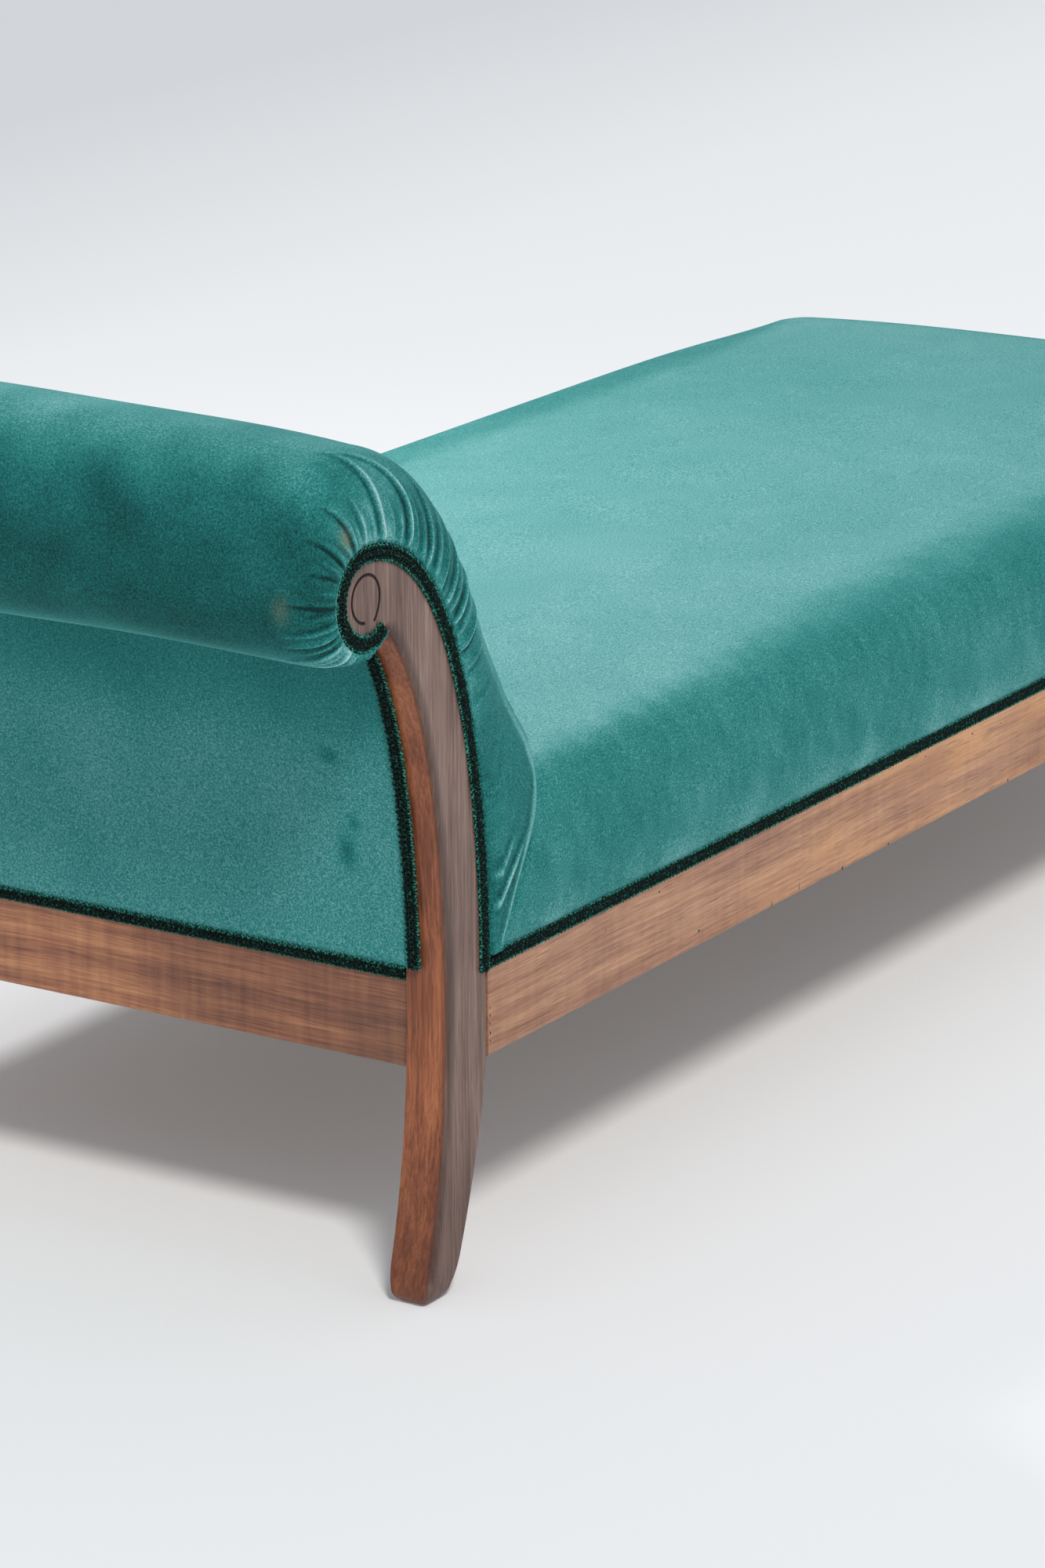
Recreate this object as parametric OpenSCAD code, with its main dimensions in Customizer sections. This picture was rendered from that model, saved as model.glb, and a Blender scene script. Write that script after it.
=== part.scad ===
// Fainting couch: a long sprung seat with one raised, scrolled head end.
// A show-wood frame of four sabre legs and four rails carries jute webbing, waisted springs,
// stuffing and a velvet cover. Each head post is one plank that is leg, back post and scroll.
// x runs from the head to the foot, the near long side faces -y, z is up from the floor.
// The origin is the middle of the couch's footprint, on the floor.

/* [Frame] */
// Width over the faces of the long rails
frame_w = 800; // [680:5:900]
// Length from the head rail's outer face to the foot rail's outer face
frame_l = 1930; // [1600:10:2200]
// Height of the rails' lower edge above the floor
rail_z = 194; // [160:1:240]
// Height of the rails' bare wood below the trim
rail_h = 76; // [64:1:100]
// Thickness of the rails
rail_t = 28; // [24:1:34]
// Thickness of the planks that the posts and legs are sawn from
post_t = 40; // [36:1:50]
// Width of the posts and legs on the long sides, at the rails
post_w = 57.5; // [52:0.5:70]
// How far the posts and legs stand proud of the head and foot rails
reveal = 3; // [1:0.5:5]
// Rounding of the outer long edges of posts and legs
arris_r = 5; // [2:0.5:7]

/* [Legs] */
// How far a toe stands out beyond the head or foot rail
leg_splay = 37.5; // [20:0.5:55]
// Width of a toe
toe_w = 43.5; // [36:0.5:54]
// Rounding of a toe
toe_r = 10; // [5:0.5:14]

/* [Scroll] */
// How far the scroll's centre hangs out beyond the head rail
scroll_out = 113; // [90:1:135]
// Height of the scroll's centre above the rails' bare wood
scroll_up = 354; // [310:1:400]
// Radius of the scroll
scroll_r = 42; // [38:0.5:50]
// Radius of the groove carved on the scroll
groove_r = 18.5; // [14:0.5:22]
// Width of the carved groove
groove_w = 3; // [2:0.5:4]
// How much smaller in radius the batten inside the roll is than the scroll
core_step = 4; // [3:0.5:8]

/* [Head padding] */
// Thickness of the inner back where it meets the seat
pad_seat = 100; // [80:1:115]
// Thickness of the inner back at its hollow
pad_waist = 62; // [50:1:75]
// Thickness of the roll above the scroll
pad_crest = 74; // [60:1:85]
// Thickness of the roll behind the scroll
pad_behind = 34; // [26:1:44]
// Thickness of the roll below the scroll
pad_under = 12; // [9:0.5:18]
// How far the inner back and the roll swell out between the posts
pad_swell = 6; // [3:0.5:9]
// Width of the inner back's foot where it is tucked down beside the post
tuck_w = 20; // [14:1:28]
// Thickness of velvet and wadding over the head's stuffing
head_skin = 9; // [7:0.5:11]

/* [Seat] */
// Height of the seat's shoulder above the rails' bare wood
seat_h = 139; // [120:1:160]
// Rise of the seat's crown above its shoulder
seat_crown = 19; // [10:1:28]
// Rounding of the seat's shoulder
seat_shoulder_r = 46; // [34:1:54]
// Rounding of the seat's two foot corners in plan
seat_corner_r = 58; // [50:1:80]
// How far the seat's sides swell past the rails
seat_swell = 5; // [2:0.5:8]
// Thickness of velvet and wadding at the seat's sides
seat_skin = 18; // [14:1:22]

/* [Springs and webbing] */
// Springs along the couch
spring_cols = 6; // [4:2:6]
// Springs across the couch
spring_rows = 3; // [2:1:3]
// Turns of one spring
spring_turns = 3.5; // [2.5:0.5:3.5]
// Wire of the springs
spring_wire = 4; // [3:0.5:5]
// Radius of a spring at its ends
spring_end_r = 44; // [38:1:50]
// Radius of a spring at its waist
spring_waist_r = 29; // [24:1:34]
// Height of the springs when lashed down
spring_h = 120; // [105:1:128]
// Width of the webbing
web_w = 50; // [40:1:60]
// Thickness of the webbing
web_t = 2; // [1.5:0.1:2.5]
// Webs that run along the couch
long_webs = 5; // [5:4:9]
// Webs that run up the inner back
back_webs = 5; // [3:1:6]
// Twine that lashes the springs
twine_d = 2.5; // [2:0.5:3]
// Thickness of hessian
hessian_t = 1; // [0.8:0.1:1.5]

/* [Trim] */
// Width of the braided gimp
gimp_w = 13; // [10:0.5:16]
// Thickness of the gimp
gimp_t = 2.5; // [2:0.1:3]
// Depth of the tacking rebate along the rails
rebate_d = 2; // [1.5:0.1:2.4]
// Bare wood beside the gimp on the posts' head faces
margin_w = 24; // [18:0.5:26]
// Thickness of the velvet
velvet_t = 1.2; // [1:0.1:1.5]

/* [Joinery] */
// Diameter of the dowels
dowel_d = 10; // [8:0.5:12]
// Length of the dowels
dowel_l = 56; // [44:1:60]
// Length of the batten's spigots in the scrolls
spigot_l = 22; // [16:1:28]
// Radius of the batten's spigots
spigot_r = 14; // [11:0.5:17]
// Reach of the corner blocks along the rails
block_l = 90; // [70:1:110]
// Height of the corner blocks
block_h = 58; // [46:1:60]
// Diameter of the corner blocks' screws
screw_d = 5; // [4:0.5:6]
// Height of the canted tacking rail at the foot of the inner back
tack_h = 44; // [36:1:52]
// Thickness of the canted tacking rail
tack_t = 25; // [20:1:28]
// Thickness of the bearer across the middle of the seat
bearer_t = 28; // [22:1:34]
// Height of the bearer across the middle of the seat
bearer_h = 54; // [44:1:60]

/* [Hidden] */

// Gap between pieces that are not glued
clear = 0.3;
// How far a cut runs past the face that it opens
over = 1;

// Levels: the top of the bare wood, and the rails' real top behind the trim
rail_top = rail_z + rail_h;
frame_top = rail_top + gimp_w;
side_y = frame_w / 2;
inner_y = side_y - post_t;

// The couch's middle, from the ends of the roll and of the foot legs' toes
roll_end = scroll_out + scroll_r + pad_behind + pad_swell - clear;
head_x = (roll_end - frame_l - leg_splay) / 2;

// The scroll, seen from the side, with x from the head rail's outer face
scroll_c = [-scroll_out, rail_top + scroll_up];
notch_deg = -45;
core_r = scroll_r - core_step;

// Handles of the posts' and legs' curves, as shares of each curve's run and rise:
// the first pair is measured from its lower end, or its upper end on a leg, the second from the other
neck_shares = [[0, 0.374], [0.803, 0]];
spine_shares = [[0.062, 0.463], [0.685, 0.175]];
shin_shares = [[0, 0.428], [0.645, 0.294]];
calf_shares = [[0.068, 0.242], [0.436, 0.286]];

// Points on each stretch of the outlines
neck_n = 16;
spine_n = 10;
leg_n = 8;
turn_n = 18;
toe_n = 3;

function curve_point(p, t) = pow(1 - t, 3) * p[0] + 3 * pow(1 - t, 2) * t * p[1]
    + 3 * (1 - t) * t * t * p[2] + t * t * t * p[3];
function stretch(a, b, shares) = let (d = b - a)
    [a, a + [shares[0][0] * d[0], shares[0][1] * d[1]],
     b - [shares[1][0] * d[0], shares[1][1] * d[1]], b];
function curve(a, b, shares, n) = let (p = stretch(a, b, shares))
    [for (i = [0 : n]) curve_point(p, i / n)];
function round_point(c, r, a) = c + r * [cos(a), sin(a)];
function arc(c, r, from, to, n) = [for (i = [0 : n]) round_point(c, r, from + (to - from) * i / n)];
function flip(list) = [for (i = [len(list) - 1 : -1 : 0]) list[i]];
function unit(v) = v / norm(v);
function mix(a, b, t) = a + (b - a) * t;
function flat(lists) = [for (l = lists) for (p = l) p];

// Outward direction at point i of an outline that runs anticlockwise
function outward(o, i) = let (n = len(o), d = unit(o[(i + 1) % n] - o[(i + n - 1) % n])) [d[1], -d[0]];
function inset(o, d) = [for (i = [0 : len(o) - 1]) o[i] - d * outward(o, i)];

// Stretches of the head post's outline
neck = curve([post_w, frame_top], scroll_c + [0, scroll_r], neck_shares, neck_n);
scroll_turn = arc(scroll_c, scroll_r, 90, 360 + notch_deg, turn_n);
spine = curve([-reveal, rail_top], round_point(scroll_c, scroll_r, notch_deg), spine_shares, spine_n);
shin = curve([-reveal, rail_top], [-leg_splay, toe_r], shin_shares, leg_n);
calf = curve([post_w, rail_z], [toe_w - leg_splay, toe_r], calf_shares, leg_n);
toe = concat(arc([toe_r - leg_splay, toe_r], toe_r, 180, 270, toe_n),
    arc([toe_w - leg_splay - toe_r, toe_r], toe_r, 270, 360, toe_n));

function less_first(list) = [for (i = [1 : len(list) - 1]) list[i]];
function less_last(list) = [for (i = [0 : len(list) - 2]) list[i]];

post_outline = concat(toe, less_first(flip(calf)), neck, less_first(scroll_turn),
    less_first(flip(spine)), less_last(less_first(shin)));
leg_outline = concat(toe, less_first(flip(calf)), [[post_w, frame_top], [-reveal, frame_top]],
    less_last(shin));

// The face of a plank as triangles, by the order of its outline's points: the toe is a fan,
// the leg and the neck are strips from side to side, the scroll is a fan about its centre
toe_last = len(toe) - 1;
function right(i) = toe_last + i;
function left(i, n) = i == 0 ? 0 : n - i;
knee = right(leg_n);
neck_first = knee + 1;
notch = neck_first + neck_n + turn_n;
function leg_face(n) = concat([for (i = [1 : toe_last - 1]) [0, i, i + 1]],
    [for (i = [0 : leg_n - 1]) each [[left(i, n), right(i), right(i + 1)], [left(i, n), right(i + 1), left(i + 1, n)]]]);
function post_face(n) = concat(leg_face(n), [[left(leg_n, n), knee, neck_first]],
    [for (i = [0 : spine_n - 1]) let (a = notch + spine_n - i, b = neck_first + i)
        each [[a, b, b + 1], [a, b + 1, a - 1]]],
    [for (i = [neck_first + spine_n : notch - 1]) [n, i, i + 1]], [[n, notch, neck_first + spine_n]]);
function block_face(n) = concat(leg_face(n),
    [[left(leg_n, n), knee, knee + 1], [left(leg_n, n), knee + 1, knee + 2]]);

// Rings of a plank: its rounded outer edges, then its flat inner face. The scroll's centre
// follows each ring's points.
arris_shares = [[1, 0], [0.3, 0.3], [0, 1]];
function plank_ring(o, y) = concat([for (p = o) [p[0], y, p[1]]], [[scroll_c[0], y, scroll_c[1]]]);
function plank_rings(o) = concat(
    [for (s = arris_shares) plank_ring(inset(o, s[0] * arris_r), s[1] * arris_r)], [plank_ring(o, post_t)]);

// A sawn plank with rounded outer edges, its outer face at y = 0
module plank(o, face) {
    rings = plank_rings(o);
    n = len(o);
    last = len(rings) - 1;
    polyhedron(flat(rings), concat([for (t = face) flip(t)], [for (t = face) [for (i = t) i + last * (n + 1)]],
        [for (k = [0 : last - 1]) for (i = [0 : n - 1])
            let (a = k * (n + 1) + i, b = k * (n + 1) + (i + 1) % n)
            each [[a, b, b + n + 1], [a, b + n + 1, a + n + 1]]]));
}

// Places that the pieces share
module from_head() { translate([head_x, 0, 0]) children(); }
module from_foot() { translate([head_x + frame_l, 0, 0]) mirror([1, 0, 0]) children(); }
module to_back() { mirror([0, 1, 0]) children(); }

// Dowels: two at each end of a rail, set in from the rail's face
dowel_zs = [rail_z + rail_h * 0.27, rail_z + rail_h * 0.8];
dowel_y = side_y - rail_t / 2;
dowel_x = rail_t / 2;
dowel_half = dowel_l / 2;
tack_dowel_l = dowel_l * 0.7;

// Dowels along x, at the joints of the long rails with a post or leg
module dowels_x(d, l) {
    for (z = dowel_zs) translate([post_w - l / 2, -dowel_y, z]) rotate([0, 90, 0])
        cylinder(d = d, h = l, $fn = 32);
}
// Dowels along y, at the joints of the head and foot rails with a post or leg
module dowels_y(d, l) {
    for (z = dowel_zs) translate([dowel_x, -inner_y - l / 2, z]) rotate([-90, 0, 0])
        cylinder(d = d, h = l, $fn = 32);
}
dowel_bore = dowel_d + clear / 2;
bore_l = dowel_l + over;

// Line of the inner back's webbing, from the foot of the padding up to the batten
web_foot = [post_w, frame_top + 2 * gimp_t];
web_layers = web_t + hessian_t + 3 * clear;
pad_core_r = core_r + web_layers;
to_foot = web_foot - scroll_c;
lean_deg = atan2(to_foot[1], to_foot[0]) + acos(pad_core_r / norm(to_foot));
web_top = round_point(scroll_c, pad_core_r, lean_deg);
web_run = norm(web_top - web_foot);

// Places a piece in the plane of the inner back: z runs up the webbing, x points to the seat
module on_web_line() {
    translate([web_foot[0], 0, web_foot[1]]) rotate([0, -lean_deg, 0]) children();
}
tack_up = frame_top + clear - web_foot[1] + (web_layers + tack_t) * sin(lean_deg);
tack_rise = tack_up / cos(lean_deg);

// Two dowels at each end of the tacking rail
module tack_dowels(d, l) {
    on_web_line() for (s = [0.3, 0.7])
        translate([-web_layers - tack_t / 2, -inner_y - l / 2, tack_rise + tack_h * s])
            rotate([-90, 0, 0]) cylinder(d = d, h = l, $fn = 32);
}
tack_dowel_d = dowel_d * 0.8;

// The carved groove: three quarters of a ring and the tail that runs to the notch
groove_end_deg = 265;
tail_r = norm([scroll_r, groove_r]) * 0.62;
module groove() {
    translate([scroll_c[0], -side_y, scroll_c[1]]) rotate([90, 0, 0]) {
        rotate_extrude(angle = groove_end_deg, $fn = 48) translate([groove_r, 0])
            circle(d = groove_w, $fn = 16);
        translate([groove_r - tail_r, 0]) rotate([0, 0, notch_deg])
            rotate_extrude(angle = -notch_deg, $fn = 48) translate([tail_r, 0])
                circle(d = groove_w, $fn = 16);
    }
}

module head_post() {
    difference() {
        translate([0, -side_y, 0]) plank(post_outline, post_face(len(post_outline)));
        groove();
        dowels_x(dowel_bore, bore_l);
        dowels_y(dowel_bore, bore_l);
        tack_dowels(tack_dowel_d + clear / 2, tack_dowel_l + over);
        translate([scroll_c[0], -inner_y + over, scroll_c[1]]) rotate([90, 0, 0])
            cylinder(r = spigot_r + clear / 2, h = spigot_l + 2 * over, $fn = 48);
    }
}
module head_post_front() { color("#6d4a38") from_head() head_post(); }
module head_post_back() { color("#6d4a38") to_back() from_head() head_post(); }

// A foot leg, with the tacking rebate cut round its top
module foot_leg() {
    difference() {
        translate([0, -side_y, 0]) plank(leg_outline, block_face(len(leg_outline)));
        translate([-reveal - over, -side_y - over, rail_top])
            cube([post_w + reveal + 2 * over, rebate_d + over, gimp_w + over]);
        translate([-reveal - over, -side_y - over, rail_top])
            cube([reveal + rebate_d + over, post_t + 2 * over, gimp_w + over]);
        dowels_x(dowel_bore, bore_l);
        dowels_y(dowel_bore, bore_l);
    }
}
module foot_leg_front() { color("#6d4a38") from_foot() foot_leg(); }
module foot_leg_back() { color("#6d4a38") to_back() from_foot() foot_leg(); }

// Section of a rail: outer face at 0, with a small chamfer below and the tacking rebate above
rail_chamfer = rail_t / 14;
rail_section = [[rail_chamfer, 0], [rail_t, 0], [rail_t, rail_h + gimp_w], [rebate_d, rail_h + gimp_w],
    [rebate_d, rail_h], [0, rail_h], [0, rail_chamfer]];

// Screws of the corner blocks: one into each rail, at the middle of the block's arms
screw_l = block_l * 0.5;
screw_head_d = screw_d * 2;
block_z = rail_z + rail_h - block_h;
screw_z = block_z + block_h / 2;
screw_arm = block_l * 0.5;
block_face = clear;
module screw_x(d, head_d) {
    translate([rail_t - screw_l * 0.4, -inner_y + screw_arm, screw_z]) rotate([0, 90, 0])
        screw_shape(d, head_d);
}
module screw_y(d, head_d) {
    translate([post_w + screw_arm, rail_t - side_y - screw_l * 0.4, screw_z]) rotate([-90, 0, 0])
        screw_shape(d, head_d);
}
module screw_shape(d, head_d) {
    cylinder(d = d, h = screw_l, $fn = 24);
    translate([0, 0, screw_l - head_d / 2]) cylinder(d1 = 0.1 * head_d, d2 = head_d, h = head_d / 2, $fn = 24);
}
screw_bore = screw_d + clear;

module long_rail() {
    length = frame_l - 2 * post_w;
    difference() {
        translate([head_x + post_w, -side_y, rail_z]) rotate([90, 0, 90])
            linear_extrude(length) polygon(rail_section);
        from_head() dowels_x(dowel_bore, bore_l);
        from_foot() dowels_x(dowel_bore, bore_l);
        from_head() screw_y(screw_bore, screw_bore);
        from_foot() screw_y(screw_bore, screw_bore);
        bearer_dowels(dowel_bore, bore_l);
    }
}
module front_rail() { color("#7a5640") long_rail(); }
module back_rail() { color("#7a5640") to_back() long_rail(); }

// The head or foot rail, drawn at the head
module end_rail() {
    difference() {
        translate([0, inner_y, rail_z]) rotate([90, 0, 0])
            linear_extrude(2 * inner_y) polygon(rail_section);
        for (side = [0, 1]) mirror([0, side, 0]) {
            dowels_y(dowel_bore, bore_l);
            screw_x(screw_bore, screw_bore);
        }
    }
}
module head_rail() { color("#7d5238") from_head() end_rail(); }
module foot_rail() { color("#7d5238") from_foot() end_rail(); }

// The inner back is tucked down behind the seat along a slanting line that starts here.
// The seat and its springing begin behind it and run to the foot rail's outer face.
tuck_low = [post_w + tuck_w, frame_top];
seat_from = tuck_low[0] + clear;
field_x = head_x + (seat_from + frame_l) / 2;

// The bearer that ties the long rails together under the middle of the springs
bearer_z = rail_z + web_t + 2 * clear;
bearer_dowel_zs = [bearer_z + bearer_h * 0.3, bearer_z + bearer_h * 0.7];
module bearer_dowels(d, l) {
    depth = min(l / 2, rail_t * 0.7);
    for (z = bearer_dowel_zs) translate([field_x, rail_t - side_y - depth, z]) rotate([-90, 0, 0])
        cylinder(d = d, h = depth + l / 2, $fn = 32);
}
module centre_bearer() {
    half = side_y - rail_t;
    color("#b08a5c") difference() {
        translate([field_x - bearer_t / 2, -half, bearer_z]) cube([bearer_t, 2 * half, bearer_h]);
        bearer_dowels(dowel_bore, bore_l);
        to_back() bearer_dowels(dowel_bore, bore_l);
    }
}

// The rail between the posts that the inner back's webbing is tacked to
module head_tacking_rail() {
    color("#b08a5c") from_head() difference() {
        on_web_line() translate([-web_layers - tack_t, -inner_y, tack_rise])
            cube([tack_t, 2 * inner_y, tack_h]);
        for (side = [0, 1]) mirror([0, side, 0])
            tack_dowels(tack_dowel_d + clear / 2, tack_dowel_l + over);
    }
}

// The flat batten under the seat's head end. It lies on the corner blocks between the long rails.
module tuck_batten() {
    half = side_y - rail_t;
    color("#b08a5c") translate([head_x + seat_from, -half, rail_top])
        cube([rail_t, 2 * half, frame_top - rail_top]);
}

// The round batten inside the roll, with a spigot in each scroll
module roll_batten() {
    reach = inner_y + spigot_l;
    color("#b08a5c") from_head() translate([scroll_c[0], 0, scroll_c[1]]) rotate([90, 0, 0]) {
        cylinder(r = core_r, h = 2 * inner_y, center = true, $fn = 64);
        cylinder(r = spigot_r, h = 2 * reach, center = true, $fn = 48);
    }
}

module rail_dowels() {
    color("#c9a878") for (side = [0, 1]) mirror([0, side, 0]) {
        from_head() dowels_x(dowel_d, dowel_l);
        from_head() dowels_y(dowel_d, dowel_l);
        from_head() tack_dowels(tack_dowel_d, tack_dowel_l);
        from_foot() dowels_x(dowel_d, dowel_l);
        from_foot() dowels_y(dowel_d, dowel_l);
        bearer_dowels(dowel_d, dowel_l);
    }
}

// A glue block notched round the post's corner, with its arms along both rails
module corner_block() {
    x0 = rail_t + block_face;
    y0 = rail_t - side_y + block_face;
    x1 = post_w + block_face;
    y1 = -inner_y + block_face;
    outline = [[x0, y1], [x1, y1], [x1, y0], [x1 + block_l, y0], [x1 + block_l, y0 + rail_t / 2],
        [x0 + rail_t / 2, y1 + block_l], [x0, y1 + block_l]];
    difference() {
        translate([0, 0, block_z]) linear_extrude(block_h) polygon(outline);
        screw_x(screw_bore, screw_head_d + clear);
        screw_y(screw_bore, screw_head_d + clear);
        screw_wells();
    }
}
// Wells that let the screws' heads down to the block's slanting face
module screw_wells() {
    well = screw_head_d + 4 * clear;
    translate([rail_t + screw_l * 0.6, -inner_y + screw_arm, screw_z]) rotate([0, 90, 0])
        cylinder(d = well, h = block_l, $fn = 24);
    translate([post_w + screw_arm, rail_t - side_y + screw_l * 0.6, screw_z]) rotate([-90, 0, 0])
        cylinder(d = well, h = block_l, $fn = 24);
}
module four_corners() {
    for (side = [0, 1]) mirror([0, side, 0]) {
        from_head() children();
        from_foot() children();
    }
}
module corner_blocks() { color("#b08a5c") four_corners() corner_block(); }
module corner_block_screws() {
    color("#8f8a80") four_corners() {
        screw_x(screw_d, screw_head_d);
        screw_y(screw_d, screw_head_d);
    }
}

// Places of the springs: even columns between the tuck and the foot rail, even rows across
spring_in = rail_t + spring_end_r * 1.95;
spring_x0 = head_x + seat_from + spring_in;
spring_x1 = head_x + frame_l - spring_in;
spring_y1 = side_y - spring_in - web_w / 2;
function col_x(i) = mix(spring_x0, spring_x1, i / (spring_cols - 1));
function row_y(j) = mix(-spring_y1, spring_y1, j / (spring_rows - 1));
function web_y(j) = mix(-spring_y1, spring_y1, j / (long_webs - 1));
cross_webs = 2 * spring_cols - 1;
function web_x(i) = mix(spring_x0, spring_x1, i / (cross_webs - 1));

// Cross webs are tacked under the long rails and lie flat
module seat_webbing_cross() {
    color("#a98a5b") for (i = [0 : cross_webs - 1])
        translate([web_x(i) - web_w / 2, rail_chamfer - side_y, rail_z - web_t])
            cube([web_w, frame_w - 2 * rail_chamfer, web_t]);
}

// Sides of the springs' wire
tube_n = 6;

// Long webs pass over one cross web and under the next
weave_rise = web_t + clear;
weave_slope = web_w / 4;
function web_line(start) = concat([[head_x + rail_chamfer, 0], [spring_x0 - web_w / 2 - weave_slope, 0]],
    [for (i = [0 : cross_webs - 1]) let (s = (i + start) % 2 == 0 ? 1 : -1)
        each [[web_x(i) - web_w / 2 - web_t, s * weave_rise], [web_x(i) + web_w / 2 + web_t, s * weave_rise]]],
    [[spring_x1 + web_w / 2 + weave_slope, 0], [head_x + frame_l - rail_chamfer, 0]]);
module seat_webbing_long() {
    color("#a98a5b") for (j = [0 : long_webs - 1]) {
        line = web_line(j);
        translate([0, web_y(j) + web_w / 2, rail_z - web_t]) rotate([90, 0, 0]) linear_extrude(web_w)
            polygon(concat(line, [for (p = flip(line)) p + [0, web_t]]));
    }
}

// Levels of the springing: the springs stand on the long webs, where these begin to dip between
// two cross webs. The rows of twine lie on the springs, the columns are half a twine higher,
// and the hessian lies on them.
web_dip = 2 * weave_rise * (spring_end_r - web_w / 2 - web_t)
    / ((spring_x1 - spring_x0) / (cross_webs - 1) - web_w - 2 * web_t);
wire_half = spring_wire / 2 * sin(360 / tube_n);
spring_z = rail_z + weave_rise - web_dip + clear + wire_half;
spring_top = spring_z + spring_h;
twine_z = spring_top + wire_half + clear + twine_d / 2;
hessian_z = twine_z + twine_d + clear;

// A waisted spring is one tube swept along a coil. Its rise eases off at both ends, so that
// the last turns lie nearly flat, and its radius draws in to the waist.
ease_share = 0.62;
curl_rings = 8;
coil_n = curl_rings * spring_turns;
function coil_radius(u) = spring_waist_r + (spring_end_r - spring_waist_r) * pow(cos(180 * u), 2);
function coil_height(u) = spring_h * (u - ease_share * sin(360 * u) / (2 * PI));
function coil_point(i) = let (u = i / coil_n, a = 360 * spring_turns * u)
    [coil_radius(u) * cos(a), coil_radius(u) * sin(a), coil_height(u)];
coil = [for (i = [0 : coil_n]) coil_point(i)];
function tube_ring(line, i, r) = let (last = len(line) - 1,
        d = unit(line[min(i + 1, last)] - line[max(i - 1, 0)]),
        side = unit(cross([0, 0, 1], d)), up = cross(d, side))
    [for (k = [0 : tube_n - 1]) line[i] + r * (cos(360 * k / tube_n) * side + sin(360 * k / tube_n) * up)];
function tube_faces(rings, n) = concat([for (k = [1 : n - 2]) [0, k, k + 1]],
    [for (j = [0 : rings - 2]) for (k = [0 : n - 1]) let (a = j * n + k, b = j * n + (k + 1) % n)
        each [[a, a + n, b + n], [a, b + n, b]]],
    let (last = (rings - 1) * n) [for (k = [1 : n - 2]) [last, last + k + 1, last + k]]);
spring_points = flat([for (i = [0 : coil_n]) tube_ring(coil, i, spring_wire / 2)]);
spring_faces = tube_faces(coil_n + 1, tube_n);

// Least gap from wire to wire, between points at least half a turn apart
turn_gaps = [for (i = [0 : coil_n]) for (k = [i + curl_rings / 2 : 1 : coil_n]) norm(coil[k] - coil[i]) - spring_wire];
echo(least_gap_in_a_spring = min(turn_gaps));

module spring() { polyhedron(spring_points, spring_faces); }
module spring_row(j) {
    for (i = [0 : spring_cols - 1]) translate([col_x(i), row_y(j), spring_z])
        rotate([0, 0, i % 2 == 0 ? 0 : 180]) spring();
}
module springs_front_row() { color("#6f6a62") spring_row(0); }
module springs_middle_row() { color("#6f6a62") if (spring_rows > 2) spring_row(1); }
module springs_back_row() { color("#6f6a62") spring_row(spring_rows - 1); }

// The sprung block: the twine is tied down the rails' inner faces and reaches its height just
// outside the springs, and the hessian slopes down a little further out
tie_in = rail_t + clear;
down_run = spring_in - spring_end_r - spring_wire / 2 - clear - tie_in;
slope_foot = rail_t - rebate_d;
slope_run = down_run - 2 * twine_d;
slope_z = frame_top + clear;

// A ring seen from above, square at the head and round at the foot corners, at a distance
// inside the frame's faces
corner_n = 5;
least_r = velvet_t * 3;
function soft_ring(x0, in, z) = let (r = max(seat_corner_r - in, least_r),
        x1 = head_x + frame_l - in, y = side_y - in)
    [for (p = concat([[x0, -y]], arc([x1 - r, r - y], r, 270, 360, corner_n),
        arc([x1 - r, y - r], r, 0, 90, corner_n), [[x0, y]])) [p[0], p[1], z]];
function field_ring(in, z) = soft_ring(head_x + seat_from + in, in, z);
function seat_ring(in, z, head_in) = soft_ring(head_x + tuck_x(z) + clear + head_in, in, z);

// A solid through a list of such rings
module stack(rings) {
    n = len(rings[0]);
    last = (len(rings) - 1) * n;
    polyhedron(flat(rings), concat([for (i = [1 : n - 2]) [0, i, i + 1]],
        [for (k = [0 : len(rings) - 2]) for (i = [0 : n - 1])
            let (a = k * n + i, b = k * n + (i + 1) % n) each [[a, a + n, b + n], [a, b + n, b]]],
        [for (i = [1 : n - 2]) [last, last + i + 1, last + i]]));
}

// A block with sloping sides, from its foot at z0 to its top at z1
module sloped_block(foot, z0, z1) { stack([field_ring(foot, z0), field_ring(foot + slope_run, z1)]); }

// Twine runs over each row and column of springs and down the inner faces of rails and batten,
// drawn as a flat band in its own upright plane: along x for a row, turned for a column
down_rise = twine_z + 1.5 * twine_d - frame_top;
function twine_line(half) = [[-half, -down_rise], [down_run - half, 0], [half - down_run, 0], [half, -down_rise]];
module lashed_line(half) {
    line = twine_line(half);
    translate([0, twine_d / 2, twine_z - twine_d / 2]) rotate([90, 0, 0]) linear_extrude(twine_d)
        polygon(concat(line, [for (p = flip(line)) p + [0, twine_d]]));
}
module spring_lashing() {
    color("#c8b48a") {
        for (i = [0 : spring_cols - 1]) translate([col_x(i), 0, twine_d / 2]) rotate([0, 0, 90])
            lashed_line(side_y - tie_in);
        for (j = [0 : spring_rows - 1]) translate([field_x, row_y(j), 0])
            lashed_line((frame_l - seat_from) / 2 - tie_in);
    }
}

// Hessian over the springs: a sloped cap whose edge lies on the rails and the batten
stuffing_gap = seat_skin + clear;
module seat_hessian() {
    color("#b89a6a") difference() {
        union() {
            sloped_block(slope_foot, slope_z, hessian_z + hessian_t);
            translate([0, 0, slope_z]) linear_extrude(hessian_t)
                polygon([for (p = seat_ring(stuffing_gap, slope_z + hessian_t, stuffing_gap)) [p[0], p[1]]]);
        }
        sloped_block(slope_foot + hessian_t, slope_z - over, hessian_z);
    }
}

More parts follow.
